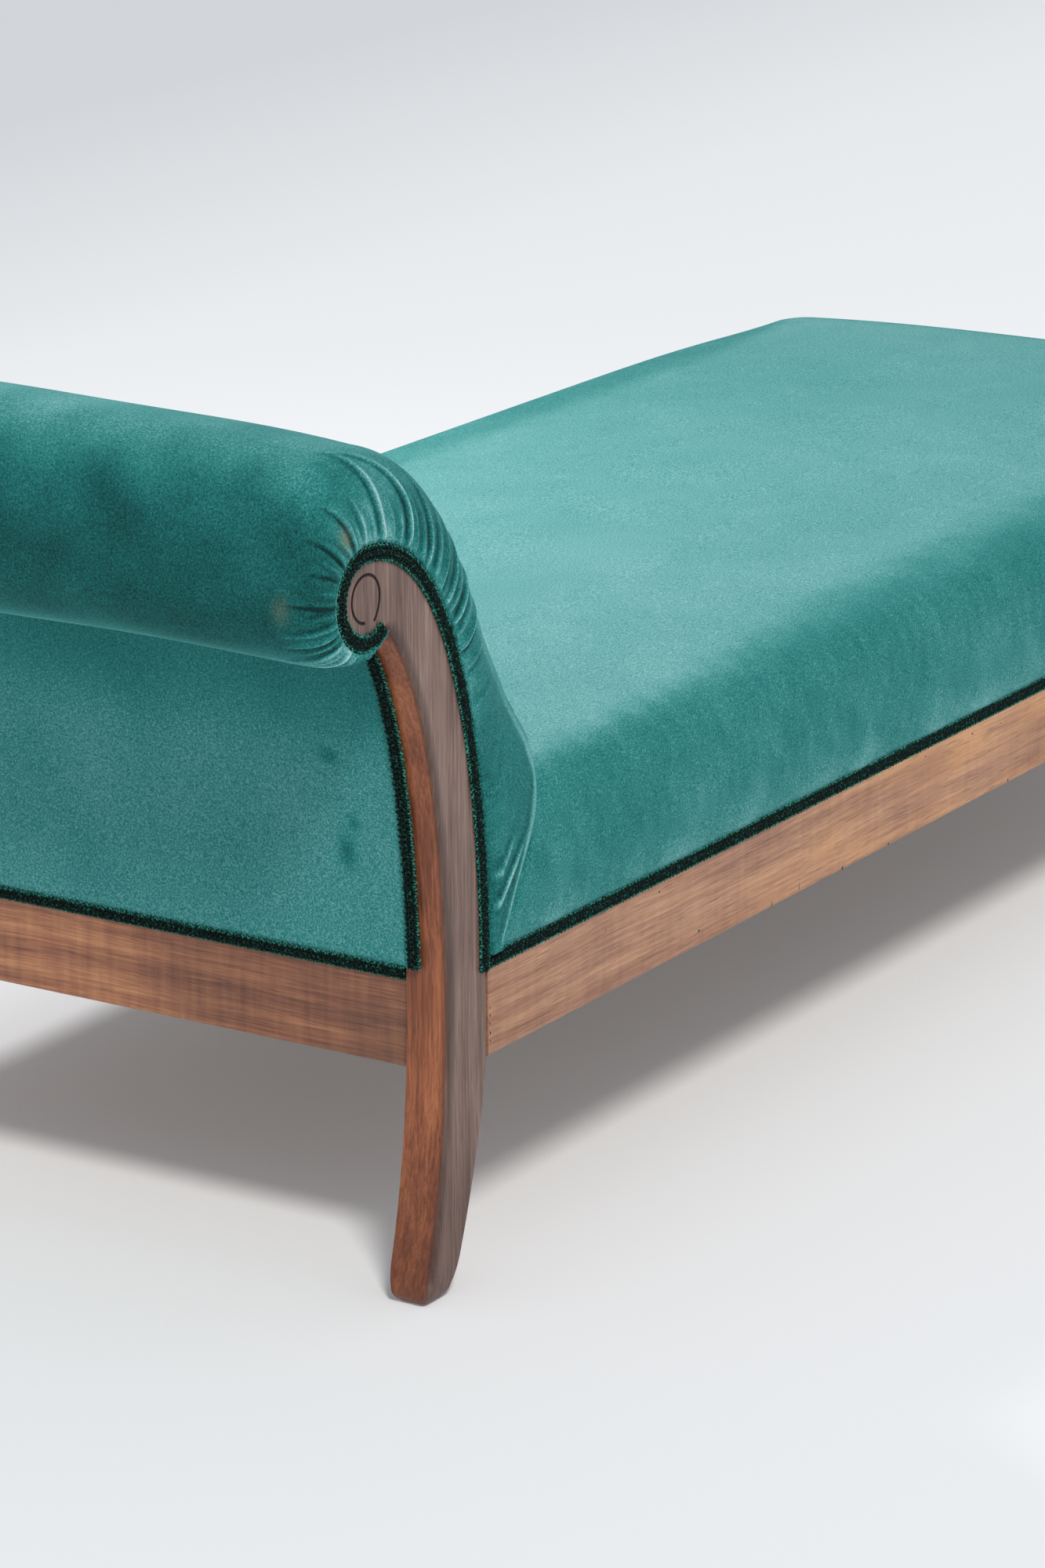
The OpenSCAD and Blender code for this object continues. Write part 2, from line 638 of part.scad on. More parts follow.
// The slab of stuffing between the hessian and the cover, hollowed for the springs
stuffing_top = rail_top + seat_h - seat_skin * 1.2;
module seat_stuffing() {
    color("#8a6f4d") difference() {
        stack([seat_ring(stuffing_gap, slope_z + hessian_t + clear, stuffing_gap),
            seat_ring(stuffing_gap, stuffing_top - seat_skin / 2, stuffing_gap),
            seat_ring(seat_skin * 1.8 + clear, stuffing_top, stuffing_gap)]);
        translate([0, 0, hessian_t]) sloped_block(slope_foot, slope_z, hessian_z + hessian_t);
    }
}

// The inner back's outline, as a thickness laid outside the post's inner edge.
// Stations run from 0 at the rail to 1 at the scroll's top, and on to 2 at the notch.
tuck_share = 0.26;
pad_stations = [[tuck_share, pad_seat], [0.55, pad_waist], [1, pad_crest], [1.4, pad_behind],
    [1.8, pad_under], [2, pad_under / 2]];
function ease(t) = (1 - cos(180 * t)) / 2;
function pad_depth(u, i = 0) = let (a = pad_stations[i], b = pad_stations[i + 1])
    i == len(pad_stations) - 2 || u <= b[0] ? mix(a[1], b[1], ease((u - a[0]) / (b[0] - a[0])))
    : pad_depth(u, i + 1);

// Path up the post's inner edge and round the scroll, at a distance outside the wood
neck_curve = stretch([post_w, frame_top], scroll_c + [0, scroll_r], neck_shares);
turn_short_deg = 2;
function turn_deg(u) = 90 + (u - 1) * (270 + notch_deg - turn_short_deg);
function edge_normal(u) = u >= 1 ? [cos(turn_deg(u)), sin(turn_deg(u))]
    : let (d = unit(curve_point(neck_curve, u + 0.001) - curve_point(neck_curve, u - 0.001))) [d[1], -d[0]];
function edge_point(u, out) = (u >= 1 ? round_point(scroll_c, scroll_r, turn_deg(u))
    : curve_point(neck_curve, u)) + out * edge_normal(u);

// The slanting line of the tuck
tuck_high = edge_point(tuck_share, pad_seat);
tuck_slope = (tuck_high[0] - tuck_low[0]) / (tuck_high[1] - tuck_low[1]);
function tuck_x(z) = tuck_low[0] + (z - tuck_low[1]) * tuck_slope;
function pad_outer(u, in) = u < tuck_share
    ? let (p = edge_point(u, 0)) [tuck_x(p[1]) - in, p[1] + (u == 0 ? clear : 0)]
    : edge_point(u, pad_depth(u) - in);

// Path behind the padding: up the hessian's face and round the batten
batten_from = 0.8;
batten_end_deg = 360 + notch_deg - 6;
function pad_back(u) = u <= batten_from ? mix(web_foot, web_top, u / batten_from)
    : u <= 1 ? round_point(scroll_c, pad_core_r, mix(lean_deg, 90, (u - batten_from) / (1 - batten_from)))
    : round_point(scroll_c, pad_core_r, mix(90, batten_end_deg, u - 1));

// Steps along the outline: fine enough to keep the tuck and the batten's ends as corners
pad_steps = concat([for (i = [0 : 3]) tuck_share * i / 4], [for (i = [0 : 7]) mix(tuck_share, batten_from, i / 8)],
    [for (i = [0 : 3]) mix(batten_from, 1, i / 4)], [for (i = [0 : 10]) 1 + i / 10]);
pad_n = len(pad_steps);

// A ring across the padding: its outside forwards, then its inside back to the start
function pad_ring(outer, inner, y_out, y_in) = concat([for (p = outer) [p[0], y_out, p[1]]],
    [for (p = flip(inner)) [p[0], y_in, p[1]]]);
function path_of(share) = [for (u = pad_steps) mix(pad_outer(u, clear), edge_point(u, post_gap(u)), share)];
function post_gap(u) = u < 0.5 ? clear : 4 * clear;
post_path = [for (u = pad_steps) edge_point(u, post_gap(u))];
back_path = [for (u = pad_steps) pad_back(u)];

// Rings from the front face of a flank to the post's inner face: how much of the padding's
// depth is drawn in, and how far out towards the front face, as shares
flank_shares = [[0.62, 1], [0.3, 1.04], [0.13, 0.9], [0.04, 0.62], [0, 0]];
flank_swell = 1.5;
body_y = inner_y - clear;
flank_rings = [for (i = [0 : len(flank_shares) - 1]) let (s = flank_shares[i],
    depth = post_t + flank_swell, last = len(flank_shares) - 1)
    pad_ring(path_of(s[0]), post_path, -body_y - depth * s[1], -body_y - post_t * (last - i) / last)];

// The body between the posts swells a little towards the middle, and no longer at the notch
body_shares = [-1, -0.92, -0.7, -0.35, 0, 0.35, 0.7, 0.92, 1];
swell_to = 1.4;
function swell(u) = u <= tuck_share ? 0 : pad_swell * min(1, (2 - u) / (2 - swell_to));
function swollen(y_share) = [for (u = pad_steps)
    pad_outer(u, clear) + swell(u) * (1 - y_share * y_share) * edge_normal(u)];
body_rings = [for (s = body_shares) pad_ring(swollen(s), back_path, s * body_y, s * body_y)];
function back_ring(ring) = [for (p = ring) [p[0], -p[1], p[2]]];
pad_rings = concat(flank_rings, body_rings, [for (r = flip(flank_rings)) back_ring(r)]);

// Where the outline steps from the post's edge to the hessian, only the inside changes:
// both rings there share the outer points of the flank's ring
ring_n = 2 * pad_n;
step_a = len(flank_rings) - 1;
step_b = step_a + len(body_rings);
function pad_id(k, i) = i < pad_n && (k == step_a + 1) ? step_a * ring_n + i
    : i < pad_n && (k == step_b + 1) ? step_b * ring_n + i : k * ring_n + i;
function pad_wall(k) = [for (i = [0 : ring_n - 1]) let (j = (i + 1) % ring_n)
    each [[pad_id(k, i), pad_id(k, j), pad_id(k + 1, j)], [pad_id(k, i), pad_id(k + 1, j), pad_id(k + 1, i)]]];
function inside_id(k, i) = k * ring_n + ring_n - 1 - i;
function pad_step(k) = concat([for (i = [0 : pad_n - 2]) let (a = inside_id(k, i), b = inside_id(k, i + 1),
        c = inside_id(k + 1, i + 1), d = inside_id(k + 1, i)) each [[d, c, b], [d, b, a]]],
    [[pad_id(k, 0), inside_id(k + 1, 0), inside_id(k, 0)],
     [pad_id(k, pad_n - 1), inside_id(k, pad_n - 1), inside_id(k + 1, pad_n - 1)]]);
function pad_end(k, turned) = [for (i = [0 : pad_n - 2]) let (a = pad_id(k, i), b = pad_id(k, i + 1),
        c = inside_id(k, i + 1), d = inside_id(k, i))
    each turned ? [[a, b, c], [a, c, d]] : [[d, c, b], [d, b, a]]];
pad_faces = concat(pad_end(0, false),
    flat([for (k = [0 : len(pad_rings) - 2]) k == step_a || k == step_b ? pad_step(k) : pad_wall(k)]),
    pad_end(len(pad_rings) - 1, true));

// Velvet over wadding: the inner back and the roll, open where the stuffing lies
stuffing_y = body_y - head_skin;
stuffing_steps = [for (u = pad_steps) if (u >= tuck_share / 3 && u <= 1.7) u];
end_share = 0.006;
function stuffing_outline(steps, in, back) = concat([for (u = steps) pad_outer(u, in)],
    [for (u = flip(steps)) let (p = pad_back(u)) p - back * unit(pad_outer(u, in) - p)]);
module head_cover() {
    color("#1f7a74") from_head() difference() {
        polyhedron(flat(pad_rings), pad_faces);
        translate([0, stuffing_y, 0]) rotate([90, 0, 0])
            linear_extrude(2 * stuffing_y) polygon(stuffing_outline(stuffing_steps, head_skin, over));
    }
}
module head_stuffing() {
    y = stuffing_y - clear;
    last = len(stuffing_steps) - 1;
    steps = [for (i = [0 : last]) stuffing_steps[i] + (i == 0 ? end_share : i == last ? -end_share : 0)];
    color("#8a6f4d") from_head() translate([0, y, 0]) rotate([90, 0, 0])
        linear_extrude(2 * y) polygon(stuffing_outline(steps, head_skin + clear, 0));
}

// Webs and hessian of the inner back, stretched from the tacking rail to the batten
module head_webbing() {
    pitch = 2 * body_y / back_webs;
    color("#a98a5b") from_head() on_web_line() for (i = [0 : back_webs - 1])
        translate([-web_layers + clear, (i + 0.5) * pitch - body_y - web_w / 2, tack_rise])
            cube([web_t, web_w, web_run - tack_rise]);
}
module head_hessian() {
    color("#b89a6a") from_head() on_web_line()
        translate([-hessian_t - clear, -body_y, tack_rise]) cube([hessian_t, 2 * body_y, web_run - tack_rise]);
}

// Cloth laid along the posts' head-facing edge, between two distances outside the wood.
// It ends just under the roll's velvet.
module spine_cloth(near, far, y0, y1) {
    foot = mix(spine[0], spine[1], (frame_top - spine[0][1]) / (spine[1][1] - spine[0][1]));
    last = norm(spine[spine_n - 1] - scroll_c);
    top = mix(spine[spine_n - 1], spine[spine_n], (last - scroll_r - pad_under / 2 - 2 * clear) / (last - scroll_r));
    line = concat([foot], less_last(less_first(spine)), [top]);
    out = [for (i = [0 : len(line) - 1]) let (d = unit(line[min(i + 1, len(line) - 1)] - line[max(i - 1, 0)]))
        [-d[1], d[0]]];
    translate([0, y1, 0]) rotate([90, 0, 0]) linear_extrude(y1 - y0)
        polygon(concat([for (i = [0 : len(line) - 1]) line[i] + near * out[i]],
            flip([for (i = [0 : len(line) - 1]) line[i] + far * out[i]])));
}
module outside_back_lining() {
    color("#b89a6a") from_head() spine_cloth(-hessian_t - clear, -clear, -body_y, body_y);
}
module outside_back_cover() {
    y = side_y - margin_w;
    color("#2b8079") from_head() spine_cloth(clear, clear + velvet_t, -y, y);
}

// Rings of the seat's cover: the hollow for the stuffing, the sides, the shoulder, the crown.
// The head end leans with the tuck line.

// Sides as pairs of shares: the swell, and the height from the rail to the shoulder's start
side_shares = [[0, 0], [0.7, 0.2], [1, 0.5], [0.8, 0.8], [0, 1]];
shoulder_n = 4;
// Crown as pairs of shares: of the half width in from the shoulder, and of the rise
crown_shares = [[0.1, 0.3], [0.25, 0.6], [0.45, 0.85], [0.7, 1]];
seat_shoulder_z = rail_top + seat_h;
shoulder_z = seat_shoulder_z - seat_shoulder_r;
crown_run = side_y - seat_shoulder_r;
inner_rise = seat_shoulder_r - seat_skin;
seat_rings = concat(
    [seat_ring(seat_skin * 1.8, stuffing_top + clear, seat_skin),
     seat_ring(seat_skin, stuffing_top + clear - seat_skin / 2, seat_skin),
     seat_ring(seat_skin, frame_top + clear, seat_skin)],
    [for (s = side_shares) seat_ring(-seat_swell * s[0], mix(frame_top + clear, shoulder_z, s[1]), 0)],
    [for (i = [1 : shoulder_n]) let (a = 90 * i / shoulder_n)
        seat_ring(seat_shoulder_r * (1 - cos(a)), shoulder_z + seat_shoulder_r * sin(a), 0)],
    [for (s = crown_shares) seat_ring(seat_shoulder_r + crown_run * s[0], seat_shoulder_z + seat_crown * s[1], 0)]);
module seat_cover() { color("#3f958e") stack(seat_rings); }

// Gimp along the rails, in their rebates
module gimp_long() {
    x0 = head_x + post_w + clear;
    x1 = head_x + frame_l - rebate_d;
    translate([x0, rebate_d - side_y - gimp_t, rail_top]) cube([x1 - x0, gimp_t, gimp_w]);
}
module gimp_front_rail() { color("#12352f") gimp_long(); }
module gimp_back_rail() { color("#12352f") to_back() gimp_long(); }
module gimp_foot_rail() {
    y = side_y - rebate_d;
    color("#12352f") translate([head_x + frame_l - rebate_d, -y, rail_top]) cube([gimp_t, 2 * y, gimp_w]);
}
module gimp_head_rail() {
    y = inner_y - clear;
    color("#12352f") translate([head_x + rebate_d - gimp_t, -y, rail_top]) cube([gimp_t, 2 * y, gimp_w]);
}

// Gimp on a post's face, along its inner edge from the rail and round the scroll
scroll_steps = concat([for (i = [0 : neck_n]) i / neck_n], [for (i = [1 : turn_n]) 1 + i / turn_n]);
module gimp_scroll() {
    translate([0, -side_y, 0]) rotate([90, 0, 0]) linear_extrude(gimp_t)
        polygon(concat([[post_w, rail_top]], [for (u = scroll_steps) edge_point(u, 0)],
            [for (u = flip(scroll_steps)) edge_point(u, -gimp_w)], [[post_w - gimp_w, rail_top]]));
}
module gimp_scroll_front() { color("#12352f") from_head() gimp_scroll(); }
module gimp_scroll_back() { color("#12352f") to_back() from_head() gimp_scroll(); }

// Gimp down the upright edges of the outside back
module gimp_back_edge() {
    y = margin_w - side_y;
    near = 2 * clear + velvet_t;
    spine_cloth(near, near + gimp_t, y, y + gimp_w);
}
module gimp_back_edge_front() { color("#12352f") from_head() gimp_back_edge(); }
module gimp_back_edge_back() { color("#12352f") to_back() from_head() gimp_back_edge(); }

head_post_front();
head_post_back();
foot_leg_front();
foot_leg_back();
front_rail();
back_rail();
head_rail();
foot_rail();
centre_bearer();
head_tacking_rail();
tuck_batten();
roll_batten();
rail_dowels();
corner_blocks();
corner_block_screws();
seat_webbing_long();
seat_webbing_cross();
springs_front_row();
springs_middle_row();
springs_back_row();
spring_lashing();
seat_hessian();
seat_stuffing();
seat_cover();
head_webbing();
head_hessian();
head_stuffing();
head_cover();
outside_back_lining();
outside_back_cover();
gimp_front_rail();
gimp_back_rail();
gimp_foot_rail();
gimp_head_rail();
gimp_scroll_front();
gimp_scroll_back();
gimp_back_edge_front();
gimp_back_edge_back();
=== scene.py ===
"""Looks of the fainting couch: show wood, teal velvet, braided gimp and the springing below."""

import math
import random
from contextlib import contextmanager

import bmesh
import bpy
import numpy as np
from mathutils import Matrix, Vector


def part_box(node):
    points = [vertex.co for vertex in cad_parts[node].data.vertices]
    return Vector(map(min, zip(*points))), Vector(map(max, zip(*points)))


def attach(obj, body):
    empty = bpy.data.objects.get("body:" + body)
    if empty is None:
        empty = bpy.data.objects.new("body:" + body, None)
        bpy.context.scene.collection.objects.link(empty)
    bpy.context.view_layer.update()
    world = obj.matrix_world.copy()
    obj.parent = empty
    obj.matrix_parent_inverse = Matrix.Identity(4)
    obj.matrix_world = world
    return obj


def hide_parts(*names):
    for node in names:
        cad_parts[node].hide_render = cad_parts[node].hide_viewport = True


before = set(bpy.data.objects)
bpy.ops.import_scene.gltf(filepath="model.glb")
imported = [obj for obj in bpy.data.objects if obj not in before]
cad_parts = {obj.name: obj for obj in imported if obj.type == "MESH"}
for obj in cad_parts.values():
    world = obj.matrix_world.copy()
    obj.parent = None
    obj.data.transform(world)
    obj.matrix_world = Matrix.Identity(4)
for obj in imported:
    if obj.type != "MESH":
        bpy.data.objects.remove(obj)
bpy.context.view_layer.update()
scene = bpy.context.scene

# ---- sizes, in millimetres
# x from the head rail's outer face, y from the middle, z from the floor, as on the drawing
LENGTH, WIDTH, CLEAR = 1930.0, 800.0, 0.3
RAIL_Z, RAIL_TOP, FRAME_TOP, RAIL_T = 194.0, 270.0, 283.0, 28.0
POST_W, PLANK_T, REVEAL, ARRIS, TOE_ROUND = 57.5, 40.0, 3.0, 5.0, 34.0
SPLAY, TOE_W, TOE_R = 37.5, 43.5, 10.0
SCROLL, SCROLL_R = np.array([-113.0, 624.0]), 42.0
GROOVE_R, GROOVE_W, NOTCH_DEG = 19.3, 2.9, -45.0
GIMP_W, GIMP_MARGIN, GIMP_SUNK = 13.0, 24.0, 1.9
TUCK_FOOT, TUCK_SHARE, TUCK_BULGE = 77.5, 0.26, 8.5
PAD_SEAT, PAD_BEHIND, PAD_SWELL, ROLL_RISE, CORE_STEP = 100.0, 34.0, 6.0, 5.0, 4.0
SEAT_TOP, SHOULDER_R, CORNER_R, CROWN = RAIL_TOP + 139, 46.0, 58.0, 19.0
SIDE, INNER = WIDTH / 2, WIDTH / 2 - PLANK_T
# the roll's back and the foot end's toes lie equally far from the middle of the floor plan
HEAD_X = float(SCROLL_R - SCROLL[0] + PAD_BEHIND + PAD_SWELL - CLEAR - LENGTH - SPLAY) / 2


def metres(x, y, z):
    """A point of the drawing in the shared frame."""
    return Vector(((HEAD_X + x) / 1000, y / 1000, z / 1000))


def xyz(x, y, z):
    """Points from their coordinates, each a number or an array."""
    return np.stack(np.broadcast_arrays(x, y, z), -1).astype(float)


def upright(flat, y):
    """A line of x-z points, set at one y."""
    return xyz(flat[:, 0], y, flat[:, 1])


def steps(n):
    return np.linspace(0, 1, n + 1)


def held(t):
    return np.clip(t, 0, 1)


def soft(t):
    """0 to 1 while t goes from 0 to 1, slow at both ends."""
    return (1 - np.cos(np.pi * held(t))) / 2


def bell(t, wide):
    return np.exp(-(t / wide) ** 2)


def clouds(a, b, size, seed):
    """A soft random field over two coordinates, about -1.5 to 1.5, with lumps of that size."""
    rng = np.random.default_rng(seed)
    total = np.zeros_like(a)
    for _ in range(14):
        way, turn = rng.uniform(0, 2 * np.pi), rng.uniform(0, 2 * np.pi)
        wave = size * rng.uniform(1.2, 3.2)
        total = total + np.sin((a * np.cos(way) + b * np.sin(way)) * 2 * np.pi / wave + turn)
    return total / 3.5


# ---- curves of the head post
def curve(a, b, near, far):
    """A curve from a to b, as a function of 0 to 1; its handles are shares of its run and rise."""
    a, b = np.array(a, float), np.array(b, float)
    p, q = a + np.array(near) * (b - a), b - np.array(far) * (b - a)

    def at(t):
        t = np.atleast_1d(t)[:, None]
        return (1 - t) ** 3 * a + 3 * (1 - t) ** 2 * t * p + 3 * (1 - t) * t * t * q + t ** 3 * b
    return at


def ring(centre, radius, degrees):
    a = np.radians(np.atleast_1d(degrees))
    return np.array(centre) + radius * np.stack([np.cos(a), np.sin(a)], 1)


def unit(rows):
    return rows / np.linalg.norm(rows, axis=1)[:, None]


def left_of(line):
    """Unit directions square to a line of x-z points, on its left."""
    step = unit(np.gradient(line, axis=0))
    return np.stack([-step[:, 1], step[:, 0]], 1)


neck = curve((POST_W, FRAME_TOP), SCROLL + (0, SCROLL_R), (0, 0.374), (0.803, 0))
spine = curve((-REVEAL, RAIL_TOP), ring(SCROLL, SCROLL_R, NOTCH_DEG)[0], (0.062, 0.463), (0.685, 0.175))
shin = curve((-REVEAL, RAIL_TOP), (-SPLAY, TOE_R), (0, 0.428), (0.645, 0.294))
calf = curve((POST_W, RAIL_Z), (TOE_W - SPLAY, TOE_R), (0.068, 0.242), (0.436, 0.286))
# the outlines run anticlockwise: toe, calf, neck, scroll, spine and shin
TOE_AND_CALF = [ring((TOE_R - SPLAY, TOE_R), TOE_R, 180 + 90 * steps(6)),
                ring((TOE_W - SPLAY - TOE_R, TOE_R), TOE_R, 270 + 90 * steps(6)), calf(steps(24))[::-1][1:]]
POST_OUTLINE = np.concatenate(TOE_AND_CALF + [neck(steps(44)), ring(SCROLL, SCROLL_R, 90 + 225 * steps(54))[1:],
                                              spine(steps(36))[::-1][1:], shin(steps(26))[1:-1]])
LEG_OUTLINE = np.concatenate(TOE_AND_CALF + [[(POST_W, FRAME_TOP), (-REVEAL, FRAME_TOP)], shin(steps(26))[:-1]])


def edge_line(u):
    """Points and outward directions up the post's inner edge (u from 0 to 1) and round the scroll (to 2)."""
    low = held(u)
    step = unit(neck(held(low + 0.001)) - neck(held(low - 0.001)))
    turn = 90 + (u - 1) * 223
    beyond = (u > 1)[:, None]
    return (np.where(beyond, ring(SCROLL, SCROLL_R, turn), neck(low)),
            np.where(beyond, ring((0, 0), 1, turn), np.stack([step[:, 1], -step[:, 0]], 1)))


# ---- colours and materials
def linear(hexed):
    """An sRGB hex colour as linear red, green, blue and alpha."""
    parts = [int(hexed[i:i + 2], 16) / 255 for i in (1, 3, 5)]
    return [c / 12.92 if c <= 0.04045 else ((c + 0.055) / 1.055) ** 2.4 for c in parts] + [1.0]


def add(tree, kind, inputs=None, stops=(), **settings):
    """One node with its settings, inputs and colour stops; an input given as a socket is linked."""
    made = tree.nodes.new("ShaderNode" + kind)
    for key, value in settings.items():
        setattr(made, key, value)
    for key, value in (inputs or {}).items():
        if isinstance(value, bpy.types.NodeSocket):
            tree.links.new(value, made.inputs[key])
        else:
            made.inputs[key].default_value = linear(value) if isinstance(value, str) else value
    marks = made.color_ramp.elements if stops else ()
    while len(marks) < len(stops):
        marks.new(0.5)
    for mark, (place, colour) in zip(marks, stops):
        mark.position, mark.color = place, linear(colour)
    return made


def finish_of(name):
    """An empty material of that name, its node tree, and the places on the couch that patterns read."""
    made = bpy.data.materials.new(name)
    made.use_nodes = True
    made.node_tree.nodes.clear()
    return made, made.node_tree, add(made.node_tree, "TexCoord").outputs["Object"]


def sums(tree, *terms):
    """Sum of (socket or number, factor) pairs, held between 0 and 1."""
    total = 0.0
    for value, factor in terms:
        total = add(tree, "Math", {0: value, 1: factor, 2: total}, operation="MULTIPLY_ADD").outputs[0]
    return add(tree, "Clamp", {"Value": total}).outputs[0]


TUFT_SHARE = 0.95


def velvet(name, stops, rise, sheen, nap_mm, nap_share):
    """Cotton velvet: cut pile that drinks light head on and shines at its edges by its sheen.
    The pile stands about 1.5 mm high. Its tufts are too fine to show, so they are drawn 1.7 mm wide. Brushed
    nap lies in soft patches. One attribute carries painted highlights on crests and edges and painted shade in
    valleys and on the darker sides, with the pile's own tone and smudges; rubbed says where the pile is worn away."""
    made, tree, place = finish_of(name)
    tuft, nap, wide = (
        add(tree, "TexNoise", {"Vector": place, "Scale": 1000 / size_mm, "Detail": detail, "Roughness": rough,
                               "Distortion": bend}).outputs["Fac"]
        for size_mm, detail, rough, bend in ((1.7, 2.0, 0.7, 0.0), (nap_mm, 4.0, 0.55, 0.6),
                                             (nap_mm * 4.5, 2.0, 0.5, 0.0)))
    painted_light_and_tone, rubbed = (add(tree, "Attribute", attribute_name=field).outputs["Fac"] for field in ("painted_light_and_tone", "rubbed"))
    shade = sums(tree, (rise - 0.5 * (TUFT_SHARE + 2 * nap_share), 1.0), (tuft, TUFT_SHARE), (nap, nap_share),
                 (wide, nap_share), (painted_light_and_tone, 1.0))
    colour = add(tree, "ValToRGB", {"Fac": shade}, stops).outputs["Color"]
    colour = add(tree, "Mix", {0: rubbed, 6: colour, 7: "#8f8c6d"}, data_type="RGBA").outputs[2]
    bump = add(tree, "Bump", {"Height": tuft, "Strength": 0.5, "Distance": 0.0012})
    shader = add(tree, "BsdfPrincipled", {
        "Base Color": colour, "Roughness": 0.85, "Specular IOR Level": 0.15, "Sheen Weight": sheen,
        "Sheen Roughness": 0.3, "Sheen Tint": "#7fc4c0", "Normal": bump.outputs[0]})
    add(tree, "OutputMaterial", {"Surface": shader.outputs[0]})
    return made


def polished(name, tones, along, streak_mm, cross=0.0, rough=0.5, side_tone=None, towards=None):
    """Old polished show wood with its grain along one axis, rubbed and faded. Its pores are too fine to show,
    so they are drawn as short dark dashes 0.7 mm wide. cross is the strength of the figure across the grain.
    side_tone is the colour that long sides facing the room have faded to; towards gives a tone that comes in
    patches from one place along an axis to another."""
    made, tree, place = finish_of(name)

    def scales(with_grain, over):
        return [with_grain if i == along else over for i in range(3)]

    lie = add(tree, "Mapping", {"Vector": place, "Scale": scales(0.022, 1.0)}).outputs[0]
    waver = add(tree, "TexNoise", {"Vector": place, "Scale": 7.0, "Detail": 1.0}).outputs["Color"]
    drift = add(tree, "VectorMath", {0: waver, 1: scales(0.0, 0.006)}, operation="MULTIPLY").outputs[0]
    lie = add(tree, "VectorMath", {0: lie, 1: drift}, operation="ADD").outputs[0]
    fine, broad, patch, pore = (
        add(tree, "TexNoise", {"Vector": vector, "Scale": 1000 / size_mm, "Detail": detail,
                               "Roughness": grit}).outputs["Fac"]
        for vector, size_mm, detail, grit in ((lie, streak_mm, 6.0, 0.7), (lie, streak_mm * 7, 3.0, 0.5),
                                              (place, 170, 3.0, 0.5), (lie, 0.7, 1.0, 0.5)))
    shade = sums(tree, (-0.775, 1.0), (fine, 1.1), (broad, 0.85), (patch, 0.6))
    if cross:
        across = add(tree, "Mapping", {"Vector": place, "Scale": scales(1.0, 0.12)}).outputs[0]
        figure = add(tree, "TexNoise", {"Vector": across, "Scale": 1000 / 9, "Detail": 2.0}).outputs["Fac"]
        shade = sums(tree, (-0.5 * cross, 1.0), (shade, 1.0), (figure, cross))
    marks, layers = (0.08, 0.38, 0.62, 0.92), []
    axes = add(tree, "SeparateXYZ", {"Vector": place}).outputs
    if side_tone:
        facing = add(tree, "SeparateXYZ", {"Vector": add(tree, "NewGeometry").outputs["Normal"]}).outputs["Y"]
        squared = add(tree, "Math", {0: facing, 1: facing}, operation="MULTIPLY").outputs[0]
        faded = add(tree, "MapRange", {"Value": squared, "From Min": 0.25, "From Max": 0.5}).outputs[0]
        grey = add(tree, "ValToRGB", {"Fac": shade}, list(zip(marks, side_tone))).outputs["Color"]
        # dirt and old polish lie dark along the head-facing arris; the wood is also darker towards the floor
        arris = sums(tree, (add(tree, "Attribute", attribute_name="patina").outputs["Fac"], 0.62))
        low = add(tree, "MapRange", {"Value": axes["Z"], "From Min": 0.02, "From Max": 0.17, "To Min": 0.45,
                                     "To Max": 0.0}).outputs[0]
        layers += [(faded, grey), (arris, "#3c2a24"), (low, "#4a2a20")]
    if towards:
        tone, axis, begin, full, most = towards
        there = add(tree, "MapRange", {"Value": axes[axis], "From Min": begin, "From Max": full, "To Min": 0.15,
                                       "To Max": 1.0}).outputs[0]
        stretched = add(tree, "Mapping", {"Vector": place, "Scale": scales(0.4, 1.3)}).outputs[0]
        spots = add(tree, "TexNoise", {"Vector": stretched, "Scale": 1000 / 75, "Detail": 1.5}).outputs["Fac"]
        spots = add(tree, "MapRange", {"Value": spots, "From Min": 0.36, "From Max": 0.72,
                                       "To Max": most}).outputs[0]
        layers.append((add(tree, "Math", {0: there, 1: spots}, operation="MULTIPLY").outputs[0], tone))
    pores = add(tree, "MapRange", {"Value": pore, "From Min": 0.56, "From Max": 0.70, "To Max": 0.45}).outputs[0]
    layers.append((pores, "#3a241b"))
    colour = add(tree, "ValToRGB", {"Fac": shade}, list(zip(marks, tones))).outputs["Color"]
    for share, over in layers:
        colour = add(tree, "Mix", {0: share, 6: colour, 7: over}, data_type="RGBA").outputs[2]
    gloss = add(tree, "MapRange", {"Value": shade, "To Min": rough + 0.08, "To Max": rough - 0.08})
    bump = add(tree, "Bump", {"Height": fine, "Strength": 0.25, "Distance": 0.0004})
    shader = add(tree, "BsdfPrincipled", {"Base Color": colour, "Roughness": gloss.outputs[0],
                                          "Specular IOR Level": 0.4, "Normal": bump.outputs[0]})
    add(tree, "OutputMaterial", {"Surface": shader.outputs[0]})
    return made


def thread(name, dark, light, speckle_mm, rough=0.9, sheen=0.2, even=0.52, spread=0.14):
    """Spun thread or fibre: matte, with a speckle as wide as its twist; even is the share that stays dark."""
    made, tree, place = finish_of(name)
    twist = add(tree, "TexNoise", {"Vector": place, "Scale": 1000 / speckle_mm, "Detail": 3.0,
                                   "Roughness": 0.7}).outputs["Fac"]
    colour = add(tree, "ValToRGB", {"Fac": twist}, [(even - spread, dark), (even + spread, light)])
    bump = add(tree, "Bump", {"Height": twist, "Strength": 0.5, "Distance": speckle_mm / 2000})
    shader = add(tree, "BsdfPrincipled", {
        "Base Color": colour.outputs["Color"], "Roughness": rough, "Specular IOR Level": 0.2,
        "Sheen Weight": sheen, "Normal": bump.outputs[0]})
    add(tree, "OutputMaterial", {"Surface": shader.outputs[0]})
    return made


